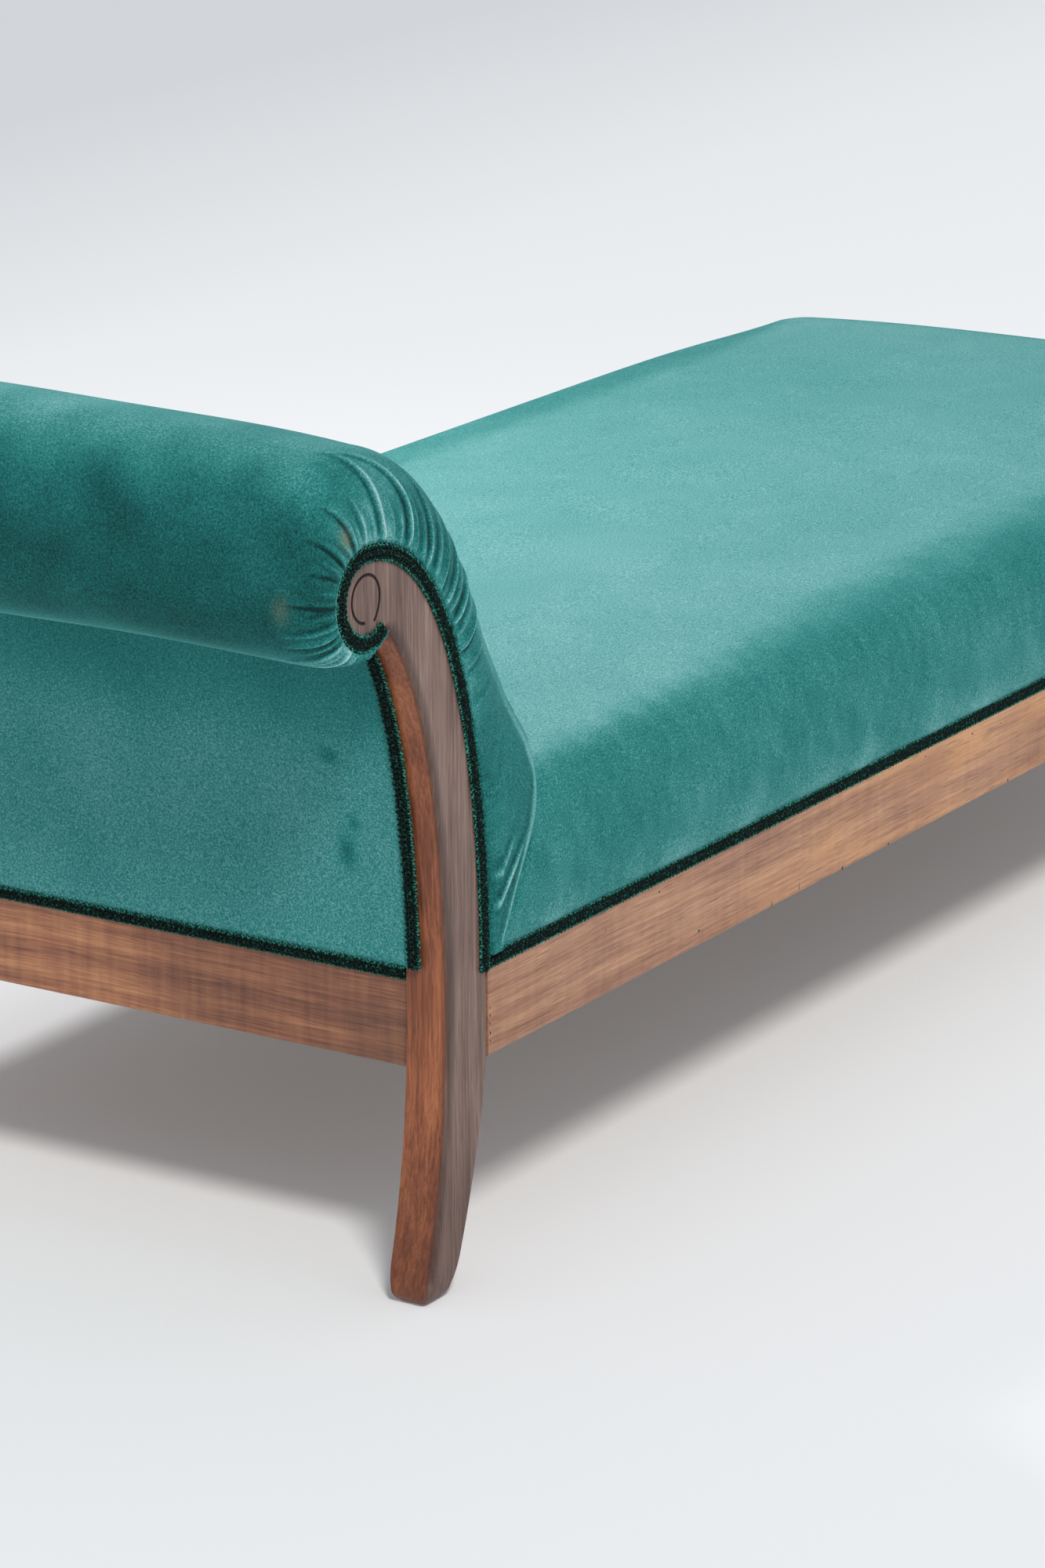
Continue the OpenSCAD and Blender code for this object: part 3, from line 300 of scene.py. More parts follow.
def weave(name, dark, light, thread_mm, axes):
    """Plain weave at its real thread spacing: warp and weft cross over and under along two axes."""
    made, tree, place = finish_of(name)
    split, waves = add(tree, "SeparateXYZ", {"Vector": place}).outputs, []
    for axis in axes:
        turn = add(tree, "Math", {0: split[axis], 1: math.pi * 1000 / thread_mm}, operation="MULTIPLY").outputs[0]
        waves.append(add(tree, "Math", {0: turn}, operation="SINE").outputs[0])
    over = add(tree, "Math", {0: waves[0], 1: waves[1]}, operation="MULTIPLY").outputs[0]
    slub = add(tree, "TexNoise", {"Vector": place, "Scale": 1000 / (thread_mm * 3), "Detail": 3.0}).outputs["Fac"]
    shade = sums(tree, (0.2, 1.0), (over, 0.3), (slub, 0.6))
    colour = add(tree, "ValToRGB", {"Fac": shade}, [(0.15, dark), (0.85, light)])
    bump = add(tree, "Bump", {"Height": shade, "Strength": 0.6, "Distance": thread_mm / 3000})
    shader = add(tree, "BsdfPrincipled", {"Base Color": colour.outputs["Color"], "Roughness": 0.92,
                                          "Specular IOR Level": 0.15, "Normal": bump.outputs[0]})
    add(tree, "OutputMaterial", {"Surface": shader.outputs[0]})
    return made


def wire(name, dark, light, rough):
    """Drawn steel wire and screws, darkened by age, with rust freckles."""
    made, tree, place = finish_of(name)
    freckle = add(tree, "TexNoise", {"Vector": place, "Scale": 1000 / 6, "Detail": 5.0, "Roughness": 0.7})
    colour = add(tree, "ValToRGB", {"Fac": freckle.outputs["Fac"]}, [(0.42, light), (0.62, dark)])
    shader = add(tree, "BsdfPrincipled", {"Base Color": colour.outputs["Color"], "Metallic": 0.85,
                                          "Roughness": rough})
    add(tree, "OutputMaterial", {"Surface": shader.outputs[0]})
    return made


TEAL = ((0.0, "#072e2d"), (0.3, "#16605d"), (0.55, "#2f8683"), (0.8, "#72b0ae"), (1.0, "#a8d2d0"))
# the one teal cloth in three copies of different lightness: partly the lie of each piece's pile, partly painted
# light; the head's copy is painted darker and the outside back's lighter
SEAT_VELVET = velvet("velvet_seat", TEAL, 0.51, 0.35, 110, 0.12)
HEAD_VELVET = velvet("velvet_head", TEAL, 0.35, 0.7, 70, 0.24)
BACK_VELVET = velvet("velvet_outside_back", TEAL, 0.61, 0.2, 150, 0.09)
POST_WOOD = polished("show_wood_posts", ("#522a1a", "#85492e", "#ab6540", "#c88458"), 2, 2.4, rough=0.46,
                     side_tone=("#493834", "#765c53", "#947a6e", "#c2ab9a"))
# towards the foot the long rails turn lighter and more golden in patches: partly the wood's own tone, partly painted
# light
LONG_WOOD = polished("show_wood_long_rails", ("#704536", "#9b6e5a", "#b8896c", "#d8a883"), 0, 2.2, 0.2,
                     towards=("#f4b577", 0, -0.5, 0.12, 0.75))
END_WOOD = polished("show_wood_end_rails", ("#5c3424", "#8f5b44", "#b07452", "#cd9567"), 1, 2.4, 0.4, 0.46,
                    towards=("#4f3a31", 1, 0.1, -0.36, 0.55))
INNER_WOOD = polished("sawn_beech", ("#8a6a47", "#b08c62", "#c6a276", "#d6b78c"), 0, 1.8, rough=0.75)
GROOVE_DARK = thread("dirt_in_groove", "#1c1210", "#2c1d19", 1.5, 0.7)
GIMP_DARK = thread("gimp_cord", "#03120f", "#226a5c", 2.4, sheen=0.0, even=0.61, spread=0.07)
GIMP_BRIGHT = thread("gimp_loops", "#03211c", "#38a08d", 2.4, sheen=0.0, even=0.52, spread=0.08)
(JUTE, JUTE_UPRIGHT), (HESSIAN, HESSIAN_UPRIGHT) = (
    [weave(name + lie, dark, light, thread_mm, axes) for lie, axes in (("", (0, 1)), ("_upright", (1, 2)))]
    for name, dark, light, thread_mm in (("jute_webbing", "#6d5433", "#b3936a", 2.2),
                                         ("hessian", "#7c6543", "#bfa37a", 1.6)))
HAIR = thread("coir_stuffing", "#3a2a1c", "#8a6b47", 2.5)
TWINE = thread("flax_twine", "#8d7850", "#cdb88d", 1.2)
SPRING_STEEL = wire("spring_wire", "#4a3325", "#6f665c", 0.5)
SCREW_STEEL = wire("screw_steel", "#5b4a3c", "#8f8a80", 0.4)
TACK_STEEL = wire("blued_tacks", "#2b2725", "#4d4b4c", 0.45)


# ---- making pieces
def placed(name, data):
    """A new object in the scene."""
    made = bpy.data.objects.new(name, data)
    scene.collection.objects.link(made)
    return made


def piece_from(name, mesh, slot, *materials, replaces=(), smooth=True):
    """Makes a mesh a piece of the couch, which may stand for CAD nodes."""
    made = placed(name, mesh)
    if not mesh.materials:
        for material in materials:
            mesh.materials.append(material)
    if smooth:
        mesh.shade_smooth()
    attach(made, "root")
    if replaces:
        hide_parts(*replaces)
    return made


def thickened(made, mm):
    wall = made.modifiers.new("thickness", "SOLIDIFY")
    wall.thickness, wall.offset = mm / 1000, 0.0


def mesh_of(bm, name):
    mesh = bpy.data.meshes.new(name)
    bm.to_mesh(mesh)
    bm.free()
    return mesh


@contextmanager
def opened(mesh):
    """The mesh's points and faces for a change, which are then put back."""
    bm = bmesh.new()
    bm.from_mesh(mesh)
    yield bm
    bm.to_mesh(mesh)
    bm.free()


def taken_from(made):
    """The mesh that an object shows; the object goes."""
    bpy.context.view_layer.update()
    mesh = bpy.data.meshes.new_from_object(made.evaluated_get(bpy.context.evaluated_depsgraph_get()))
    bpy.data.objects.remove(made)
    return mesh


def grid_mesh(name, points, closed=False, fields=None):
    """A grid of quads through rows of points in millimetres of the drawing; closed joins and fills its ends."""
    rows, columns = points.shape[:2]
    bm = bmesh.new()
    bmesh.ops.create_grid(bm, x_segments=rows - 1, y_segments=columns - 1, size=0.5)
    mesh = mesh_of(bm, name)
    place = np.empty(len(mesh.vertices) * 3, np.float32)
    mesh.vertices.foreach_get("co", place)
    place = place.reshape(-1, 3)
    i = np.rint((place[:, 0] + 0.5) * (rows - 1)).astype(int)
    j = np.rint((place[:, 1] + 0.5) * (columns - 1)).astype(int)
    at = points[i, j] + (HEAD_X, 0, 0)
    mesh.vertices.foreach_set("co", (at / 1000).astype(np.float32).ravel())
    for key, values in (fields or {}).items():
        attribute = mesh.attributes.new(key, "FLOAT", "POINT")
        attribute.data.foreach_set("value", values[i, j].astype(np.float32).ravel())
    with opened(mesh) as bm:
        if closed:
            bmesh.ops.remove_doubles(bm, verts=bm.verts, dist=0.00002)
            bmesh.ops.holes_fill(bm, edges=[e for e in bm.edges if e.is_boundary], sides=0)
            bmesh.ops.triangulate(bm, faces=[f for f in bm.faces if len(f.verts) > 4])
        bmesh.ops.recalc_face_normals(bm, faces=bm.faces)
    return mesh


def round_again(rings):
    """Rings of points, or of a field, with each ring's first point again at its end."""
    return np.concatenate([rings, rings[:, :1]], 1)


def tube_mesh(name, lines, radius, sides):
    """Round tubes along lists of points, capped, as one mesh."""
    path = bpy.data.curves.new(name, "CURVE")
    path.dimensions, path.bevel_depth, path.use_fill_caps = "3D", radius / 1000, True
    path.bevel_resolution = sides // 2 - 2
    for line in lines:
        spline = path.splines.new("POLY")
        spline.points.add(len(line) - 1)
        places = (np.asarray(line) + (HEAD_X, 0, 0)) / 1000
        spline.points.foreach_set("co", np.hstack([places, np.ones((len(line), 1))]).ravel())
    mesh = taken_from(placed(name + "_curve", path))
    bpy.data.curves.remove(path)
    mesh.materials.clear()
    mesh.name = name
    with opened(mesh) as bm:
        bmesh.ops.remove_doubles(bm, verts=bm.verts, dist=0.000001)
    return mesh


def tubes(name, lines, radius, sides, slot, material, replaces=()):
    return piece_from(name, tube_mesh(name, lines, radius, sides), slot, material, replaces=replaces)


def padding(name, points, slot, material, node, fields=None):
    """A closed and padded piece through rows of points."""
    mesh = grid_mesh(name, points, closed=True, fields=fields)
    piece_from(name, mesh, slot, material, replaces=[node])


def beads(name, spots, slot, material, around, high):
    """Small flattened balls as one piece: x, y, z and their half sizes."""
    bm = bmesh.new()
    for x, y, z, *halves in spots:
        place = Matrix.Translation(metres(x, y, z)) @ Matrix.Diagonal([half / 1000 for half in halves] + [1])
        bmesh.ops.create_uvsphere(bm, u_segments=around, v_segments=high, radius=1, matrix=place)
    piece_from(name, mesh_of(bm, name), slot, material)


# ---- posts and legs
def plank_mesh(name, outline):
    """A sawn plank on the front side: its outline extruded through its thickness, with rounded outer arrises."""
    bm = bmesh.new()
    face = bm.faces.new([bm.verts.new(metres(x, -SIDE, z)) for x, z in outline])
    rim = list(face.edges)
    grown = bmesh.ops.extrude_face_region(bm, geom=[face], use_keep_orig=True)
    far = [v for v in grown["geom"] if isinstance(v, bmesh.types.BMVert)]
    bmesh.ops.translate(bm, verts=far, vec=(0, PLANK_T / 1000, 0))
    bmesh.ops.recalc_face_normals(bm, faces=bm.faces)
    bmesh.ops.bevel(bm, geom=rim, offset=ARRIS / 1000, offset_type="OFFSET", segments=4, profile=0.5,
                    affect="EDGES", clamp_overlap=False, material=-1)
    bmesh.ops.remove_doubles(bm, verts=bm.verts, dist=0.00005)
    # a ring of faces inside the outer side's rim, so that dark patina can lie along the head-facing edge
    front = [f for f in bm.faces if f.normal.y < -0.99 and f.calc_area() > 0.001]
    bmesh.ops.inset_region(bm, faces=front, thickness=0.0065, use_even_offset=True)
    patina = bm.verts.layers.float.new("patina")
    inner = {v for f in front for v in f.verts}
    bm.normal_update()
    for vert in bm.verts:
        away = Vector((vert.normal.x, vert.normal.z))
        outer = vert not in inner and vert.co.y * 1000 + SIDE < ARRIS - 0.4
        if outer and 0.02 < vert.co.z < 0.598 and away.length > 0.02:
            vert[patina] = max(0.0, min(1.0, -1.6 * away.normalized().x))
    # the toe is worn round: slices near the floor draw in from all sides
    for share in (0.03, 0.1, 0.2, 0.34, 0.5, 0.72, 1.0):
        bmesh.ops.bisect_plane(bm, geom=bm.verts[:] + bm.edges[:] + bm.faces[:],
                               plane_co=(0, 0, share * TOE_ROUND / 1000), plane_no=(0, 0, 1))
    sides = [side(steps(40))[::-1] for side in (shin, calf)]
    middle = (PLANK_T / 2 - SIDE) / 1000
    for vert in bm.verts:
        z = vert.co.z * 1000
        if z < TOE_ROUND:
            worn = 1 - math.sqrt(max(0.0, 1 - (1 - z / TOE_ROUND) ** 2))
            centre = metres(sum(np.interp(z, side[:, 1], side[:, 0]) for side in sides) / 2, 0, 0).x
            vert.co.y = middle + (vert.co.y - middle) * (1 - 0.5 * worn)
            vert.co.x = centre + (vert.co.x - centre) * (1 - 0.25 * worn)
    return mesh_of(bm, name)


def carved(mesh):
    """The post with a round gouge's groove: three quarters of a ring and a tail that runs to the notch."""
    tail_r = math.hypot(SCROLL_R, GROOVE_R) * 0.62
    line = np.concatenate([ring(SCROLL, GROOVE_R, 265 * steps(80)[::-1]),
                           ring(SCROLL + (GROOVE_R - tail_r, 0), tail_r, NOTCH_DEG * steps(20))[1:]])
    tool = tube_mesh(mesh.name + "_groove", [upright(line, -SIDE - 0.1)], GROOVE_W / 2, 10)
    body, cutter = placed("carving", mesh), placed("gouge", tool)
    for made in (body, cutter):
        made.data.materials.append(POST_WOOD)
        made.data.materials.append(GROOVE_DARK)
    # the cut keeps the tool's dark material
    tool.polygons.foreach_set("material_index", [1] * len(tool.polygons))
    cut = body.modifiers.new("cut", "BOOLEAN")
    cut.operation, cut.object, cut.solver = "DIFFERENCE", cutter, "EXACT"
    result = taken_from(body)
    bpy.data.objects.remove(cutter)
    with opened(result) as bm:
        bmesh.ops.holes_fill(bm, edges=[e for e in bm.edges if e.is_boundary])
    return result


def show_posts():
    to_back = Matrix.Scale(-1, 4, (0, 1, 0))
    to_foot = Matrix.Translation(((2 * HEAD_X + LENGTH) / 1000, 0, 0)) @ Matrix.Scale(-1, 4, (1, 0, 0))
    for word, outline, foot_end in (("head_post", POST_OUTLINE, False), ("foot_leg", LEG_OUTLINE, True)):
        for side, back in (("front", False), ("back", True)):
            node = "%s_%s" % (word, side)
            mesh = plank_mesh(node + "_shown", outline)
            if foot_end:
                mesh.transform(to_foot)
            else:
                mesh = carved(mesh)
            if back:
                mesh.transform(to_back)
            if foot_end != back:
                mesh.flip_normals()
            made = piece_from(node + "_shown", mesh, "show_wood", POST_WOOD, GROOVE_DARK, replaces=[node])
            made.data.set_sharp_from_angle(angle=math.radians(38))
            made.modifiers.new("even", "WEIGHTED_NORMAL").keep_sharp = True


# ---- the head's padding
PAD_STATIONS = ((TUCK_SHARE, PAD_SEAT), (0.55, 62), (1, 74), (1.4, PAD_BEHIND), (1.8, 12), (2, 6))


def pad_depth(u):
    """The padding's thickness at stations u of the edge line."""
    depth = np.full_like(u, PAD_SEAT)
    for (a, da), (b, db) in zip(PAD_STATIONS, PAD_STATIONS[1:]):
        inside = (u > a) & (u <= b)
        depth[inside] = da + (db - da) * soft((u[inside] - a) / (b - a))
    return depth


(tuck_point,), (tuck_way,) = edge_line(np.array([TUCK_SHARE]))
TUCK_HIGH = tuck_point + PAD_SEAT * tuck_way
TUCK_SLOPE = (TUCK_HIGH[0] - TUCK_FOOT) / (TUCK_HIGH[1] - FRAME_TOP)


def tuck_x(z):
    """Where the inner back and the seat meet, at height z."""
    return TUCK_FOOT + (z - FRAME_TOP) * TUCK_SLOPE


def flank_share(y):
    """1 at the couch's sides, fading to 0 some way in."""
    return soft((np.abs(y) - 300) / 60)


# the padding's hidden side runs straight up from the rail, touches the round batten, and goes round it
BACK_FOOT, CORE_R = np.array([POST_W, FRAME_TOP + 5.0]), SCROLL_R - CORE_STEP + 3.9
CORE_DEG = math.degrees(math.atan2(*(BACK_FOOT - SCROLL)[::-1])
                        + math.acos(CORE_R / np.linalg.norm(BACK_FOOT - SCROLL)))
BACK_HIGH = ring(SCROLL, CORE_R, CORE_DEG)[0]


def inner_line(us):
    turn = np.where(us <= 1, CORE_DEG + (90 - CORE_DEG) * (us - 0.8) / 0.2, 90 + 219 * (us - 1))
    straight = BACK_FOOT + (BACK_HIGH - BACK_FOOT) * us[:, None] / 0.8
    return np.where((us <= 0.8)[:, None], straight, ring(SCROLL, CORE_R, turn))


# Pleats gathered at the scroll: station of the foot on the edge, lean per mm and how it grows (in
# thousandths and hundred-thousandths of a station), length along the velvet, height, and the side of
# the shadow: 1 towards the notch, -1 towards the rail, 0 for a tuck that is a sharp furrow
FRONT_PLEATS = (
    (0.435, 0.2, 0.2, 46, 0.8, 1), (0.505, 0.3, 0.3, 60, 1.3, -1), (0.55, 0.38, 0.2, 66, 3, -1),
    (0.58, 0.4, 0.4, 58, 1.9, 1), (0.605, 0.35, 0.6, 72, 3.4, 1), (0.632, 0.4, 0.6, 56, 2, 1),
    (0.655, 0.45, 0.7, 72, 2.8, 1), (0.69, 0.5, 0.8, 74, 2.5, -1), (0.725, 0.6, 1, 70, 2.3, 1),
    (0.76, 0.75, 1.2, 80, 3, 1), (0.788, 0.6, 1.5, 50, 1.5, 1), (0.815, 0.5, 1.6, 60, 1.8, -1),
    (0.85, 0.3, 1.9, 100, 4.2, 1), (0.88, 0.3, 1.5, 38, 1.5, 1), (0.905, 0.4, 1.3, 46, 1.3, -1),
    (0.943, 0.7, 0.1, 104, 3.8, 1), (0.97, 0.6, 0.5, 36, 1.2, 1), (1.005, 1.2, -0.6, 56, 2.6, 1),
    (1.04, 0.9, 0, 32, 1.2, 1), (1.072, 0.6, 0, 44, 1.6, 1), (1.1, 0.2, 0.75, 64, 3, 0),
    (1.14, 0.4, 0.3, 36, 1.8, 1), (1.172, 0.2, 0.3, 28, 1.2, 1), (1.2, 0, 0.55, 54, 2.8, 0),
    (1.238, 0.1, 0.2, 30, 1.4, 1), (1.275, 0.05, 0.6, 36, 2.2, 0), (1.33, 0, 0, 26, 1, 1),
    (1.385, -0.1, 0, 60, 2.2, 0), (1.42, 0, 0.1, 32, 1.2, -1), (1.465, 0, 0.1, 62, 2, -1),
    (1.505, 0, 0.1, 60, 2.4, 1), (1.54, 0, 0.1, 50, 1.6, 1), (1.575, 0.1, 0.1, 62, 2.4, -1),
    (1.61, 0.1, 0.1, 46, 1.6, 1), (1.65, 0.1, 0.2, 56, 2, 1), (1.7, 0.1, 0.2, 42, 1.5, -1),
    (1.76, 0.1, 0.2, 36, 1.3, 1), (1.83, 0.1, 0.2, 28, 0.9, 1))


def back_pleats():
    """The back scroll's gathers: like the front's, each a little moved."""
    rng = random.Random(7)
    return [(u + rng.uniform(-0.012, 0.012), lean * rng.uniform(0.7, 1.3), grow * rng.uniform(0.7, 1.3),
             long * rng.uniform(0.8, 1.2), high * rng.uniform(0.75, 1.2), side)
            for u, lean, grow, long, high, side in FRONT_PLEATS]


def gathered(u, along, pleats):
    """Height of the pleats, with the painted highlight on their crests and the painted shade at their feet, at
    stations u and distances along the velvet from the gimp, in millimetres."""
    crest, valley, shade = np.zeros_like(along), np.zeros_like(along), np.zeros_like(along)
    # one station is so many millimetres on the neck and, fanned out, round the scroll
    run = np.where(u < 1, 400.0, 165.0 + 2.6 * np.clip(along, 0, 70))
    for k, (foot, lean, grow, long, high, side) in enumerate(pleats):
        path = foot + 0.001 * lean * along + 0.00001 * grow * along ** 2
        gap = (u - path - 0.0016 * np.sin(along / 13 + k * 1.7)) * run
        fade = high * np.clip((along + 4) / 12, 0.3, 1) * (1 - soft((along / long - 0.3) / 0.7))
        if side == 0:
            form, deep = 0.6 * bell(gap + 4.2, 3.2), 0.8 * bell(gap, 1.3)
            light = 0.05 * bell(gap + 3, 1.8) - 0.20 * bell(gap, 1.4)
        else:
            gap = gap * side
            form, deep = np.where(gap > 0, bell(gap, 1.4), bell(gap, 4.2)), 0.42 * bell(gap - 4.2, 2.9)
            light = 0.125 * bell(gap + 0.2, 1.1) - 0.105 * bell(gap - 3.4, 2.2)
        crest = np.maximum(crest, fade * form)
        valley += fade * deep
        shade += fade * light
    return crest - valley, shade


FLANK_ROWS, BODY_ROWS, BODY_HALF = 70, 26, 355.0


def head_skin(us):
    """The inner back and the roll: a skin from the front gimp over the flank, across the body and down
    the back flank. Also the line that it starts from."""
    point, normal = edge_line(us)
    outer = point + pad_depth(us)[:, None] * normal
    low = us < TUCK_SHARE
    outer[low] = np.stack([tuck_x(point[low, 1]) - 0.6, point[low, 1] + 0.4], 1)
    # the corner over the tuck is rounded
    knee = np.abs(us - TUCK_SHARE) < 0.1
    outer[knee] = np.stack([np.interp(us[knee][:, None] + np.linspace(-0.05, 0.05, 11), us, outer[:, k]).mean(1)
                            for k in (0, 1)], 1)
    base = point + 1.3 * normal
    theta = np.linspace(0, np.pi / 2, FLANK_ROWS)
    # the flank is full and square where it meets the seat, and round higher up
    change = soft((us - 0.20) / 0.2)[:, None]
    power = 2 / (6 - 3.5 * change)
    share, reach = np.sin(theta) ** power, np.cos(theta) ** power
    flank = BODY_HALF + (50.0 - 3.0 * change) * reach + (1 - change) * 3.0 * np.sin(2 * theta) ** 2
    body = np.broadcast_to(np.linspace(-BODY_HALF, BODY_HALF, BODY_ROWS + 2)[1:-1], (len(us), BODY_ROWS))
    ys = np.concatenate([-flank, body, flank[:, ::-1]], 1)
    shares = np.concatenate([share, np.ones(body.shape), share[:, ::-1]], 1)
    swell = 5.5 * held((2 - us) / 0.6) * held((us - TUCK_SHARE) / 0.1)
    skin = base[:, None, :] + shares[..., None] * (outer - base)[:, None, :]
    skin += (swell[:, None] * held(1 - (ys / BODY_HALF) ** 2))[..., None] * normal[:, None, :]
    u = us[:, None]
    # the roll rises a little between its ends
    skin[..., 1] += ROLL_RISE * soft((u - 0.55) / 0.3) * held(1 - (ys / BODY_HALF) ** 4)
    # beside the tuck the flank bulges over the seat's corner
    skin[..., 0] += TUCK_BULGE * bell(u - 0.19, 0.075) * shares ** 2 * flank_share(ys)
    return xyz(skin[..., 0], ys, skin[..., 1]), base


def head_cover():
    spans = ((0, 0.3, 110), (0.3, 0.45, 40), (0.45, 1.0, 330), (1.0, 1.8, 350))
    us = np.concatenate([np.linspace(a, b, n)[:-1] for a, b, n in spans] + [np.linspace(1.8, 2.0, 40)])
    grid, base = head_skin(us)
    out = np.cross(np.gradient(grid, axis=1), np.gradient(grid, axis=0))
    out /= np.linalg.norm(out, axis=2)[..., None] + 1e-9
    run = np.linalg.norm(np.diff(grid, axis=1), axis=2)
    from_front = np.concatenate([np.zeros((len(us), 1)), np.cumsum(run, 1)], 1)
    from_back = from_front[:, -1:] - from_front
    u, y = np.broadcast_to(us[:, None], from_front.shape), grid[..., 1]
    front, front_shade = gathered(u, from_front, FRONT_PLEATS)
    back, back_shade = gathered(u, from_back, back_pleats())
    height, shade = np.maximum(front, back), front_shade + back_shade
    # small gathers right at the gimp, and slow unevenness of the stuffing
    near = np.minimum(from_front, from_back)
    gather = 0.8 * np.sin(u * 330 / 6.3 * np.pi + 3 * np.sin(u * 21)) * bell(near - 5, 9) * (u > 0.35)
    uneven = 1.4 * np.sin(u * 7 + y / 83) * np.sin(y / 127 + u * 3)
    uneven *= held(near / 60) * (u > TUCK_SHARE + 0.05) * held((2 - u) / 0.2)
    # long soft folds that run down beside the tuck, with a painted highlight on each crest and painted shade beside
    # it
    tuck_fold = np.zeros_like(height)
    for start, lean, high, long in ((0.065, 0.0023, 1.5, 64), (0.107, 0.0024, 1.3, 44), (0.245, 0.0022, 0.7, 24)):
        gap = (u - start - lean * near) * 400
        reach = high * held(near / 8) * (1 - soft((near / long - 0.5) / 0.5))
        tuck_fold = np.maximum(tuck_fold, bell(gap, 3.0) * reach)
        shade += reach * (0.34 * bell(gap, 2.1) - 0.18 * bell(gap - 6, 3.2) - 0.08 * bell(gap + 5, 3))
    # painted highlight along the flank's edge where it turns towards the tuck, with painted shade beside it
    turn = near - np.interp(u, (0, 0.03, 0.09, 0.15, 0.21, 0.27, 0.33, 0.39, 0.45, 0.51, 0.6),
                            (10, 16, 31, 49, 66, 80, 71, 59, 47, 39, 37))
    wide = 1.9 + 2.6 * soft((u - 0.1) / 0.15)
    wide = np.where(turn > 0, wide + 5 * soft((u - 0.12) / 0.12), wide)
    shade += 0.34 * bell(turn, wide) * held(u / 0.03) * (1 - 0.5 * soft((u - 0.25) / 0.2)) * held((0.7 - u) / 0.2)
    shade -= 0.10 * bell(turn + 7, 4) * held(u / 0.05) * held((0.34 - u) / 0.1)
    # painted light: the flank and the crest of the roll are painted lighter, its head side darker, and a painted
    # highlight runs along its under edge
    shade += 0.11 * (1 - soft((u - 0.45) / 0.45))
    for light, at, wide in ((0.25, 0.98, 0.14), (-0.07, 1.27, 0.10), (-0.13, 1.43, 0.14), (0.23, 1.635, 0.06),
                            (0.2, 1.665, 0.025)):
        shade += light * bell(u - at, wide)
    # a painted highlight on the lower end of the roll, near the gimp
    shade += 0.08 * bell(u - 1.56, 0.1) * bell(near - 20, 60)
    # brushed marks, a painted highlight along the gimp, and small clouds near it
    shade += 0.055 * clouds(y * 0.45, u * 200, 16, 31) * bell(u - 1.14, 0.2) * held(near / 60)
    shade += 0.15 * bell(near - 2, 9) * soft((u - 0.35) / 0.15)
    small = 0.03 * clouds(u * 330, near, 24, 21) + 0.03 * clouds(u * 330, near, 8, 22)
    shade += small * held(near / 12) * np.exp(-near / 110)
    # two spots on the front end are rubbed bare
    rubbed = 0.8 * bell(u - 1.128, 0.022) * bell(near - 17, 9) + 0.3 * bell(u - 1.395, 0.035) * bell(near - 50, 7)
    rubbed *= (0.65 + 0.35 * np.sin(near * 1.9 + u * 160)) * (y < 0)
    lift = (height + gather + tuck_fold + uneven) * held(u / 0.03) * held((2 - u) / 0.03) * held(near / 3)
    grid = grid + lift[..., None] * out
    # the inside: over the post's edge, then across behind the stuffing
    back_line = inner_line(us)
    inside = [upright(line, y) for y, line in (
        (398, base), (INNER + 0.2, base), (INNER - 0.3, back_line), (-INNER + 0.3, back_line),
        (-INNER - 0.2, base), (-398, base))]
    whole = round_again(np.concatenate([grid, np.stack(inside, 1)], 1))
    fields = {key: np.pad(values, ((0, 0), (0, len(inside) + 1)))
              for key, values in (("painted_light_and_tone", shade), ("rubbed", rubbed))}
    padding("head_velvet", whole, "velvet", HEAD_VELVET, "head_cover", fields)


# ---- the seat
# points of a ring along a side, across the foot end and round a corner
FINE, PLAIN = (330, 70, 12), (60, 24, 6)


def seat_round(inset, z, counts, head_in=0.0):
    """A ring of the seat seen from above: square at the head, round at the foot corners."""
    n_side, n_end, n_corner = counts
    r = min(max(CORNER_R - inset, 4.0), SIDE - inset)
    x0, x1, y = tuck_x(z) + 0.6 + head_in, LENGTH - inset, SIDE - inset
    front = np.stack([np.linspace(x0, x1 - r, n_side), np.full(n_side, -y)], 1)
    corner = ring((x1 - r, r - y), r, 270 + 90 * steps(n_corner))[1:-1]
    end = np.stack([np.full(n_end, x1), np.linspace(r - y, y - r, n_end)], 1)
    other = ring((x1 - r, y - r), r, 90 * steps(n_corner))[1:-1]
    head = np.stack([np.full(24, x0), np.linspace(y, -y, 26)[1:-1]], 1)
    flat = np.concatenate([front, corner, end, other, front[::-1] * (1, -1), head])
    return np.column_stack([flat, np.full(len(flat), z)])


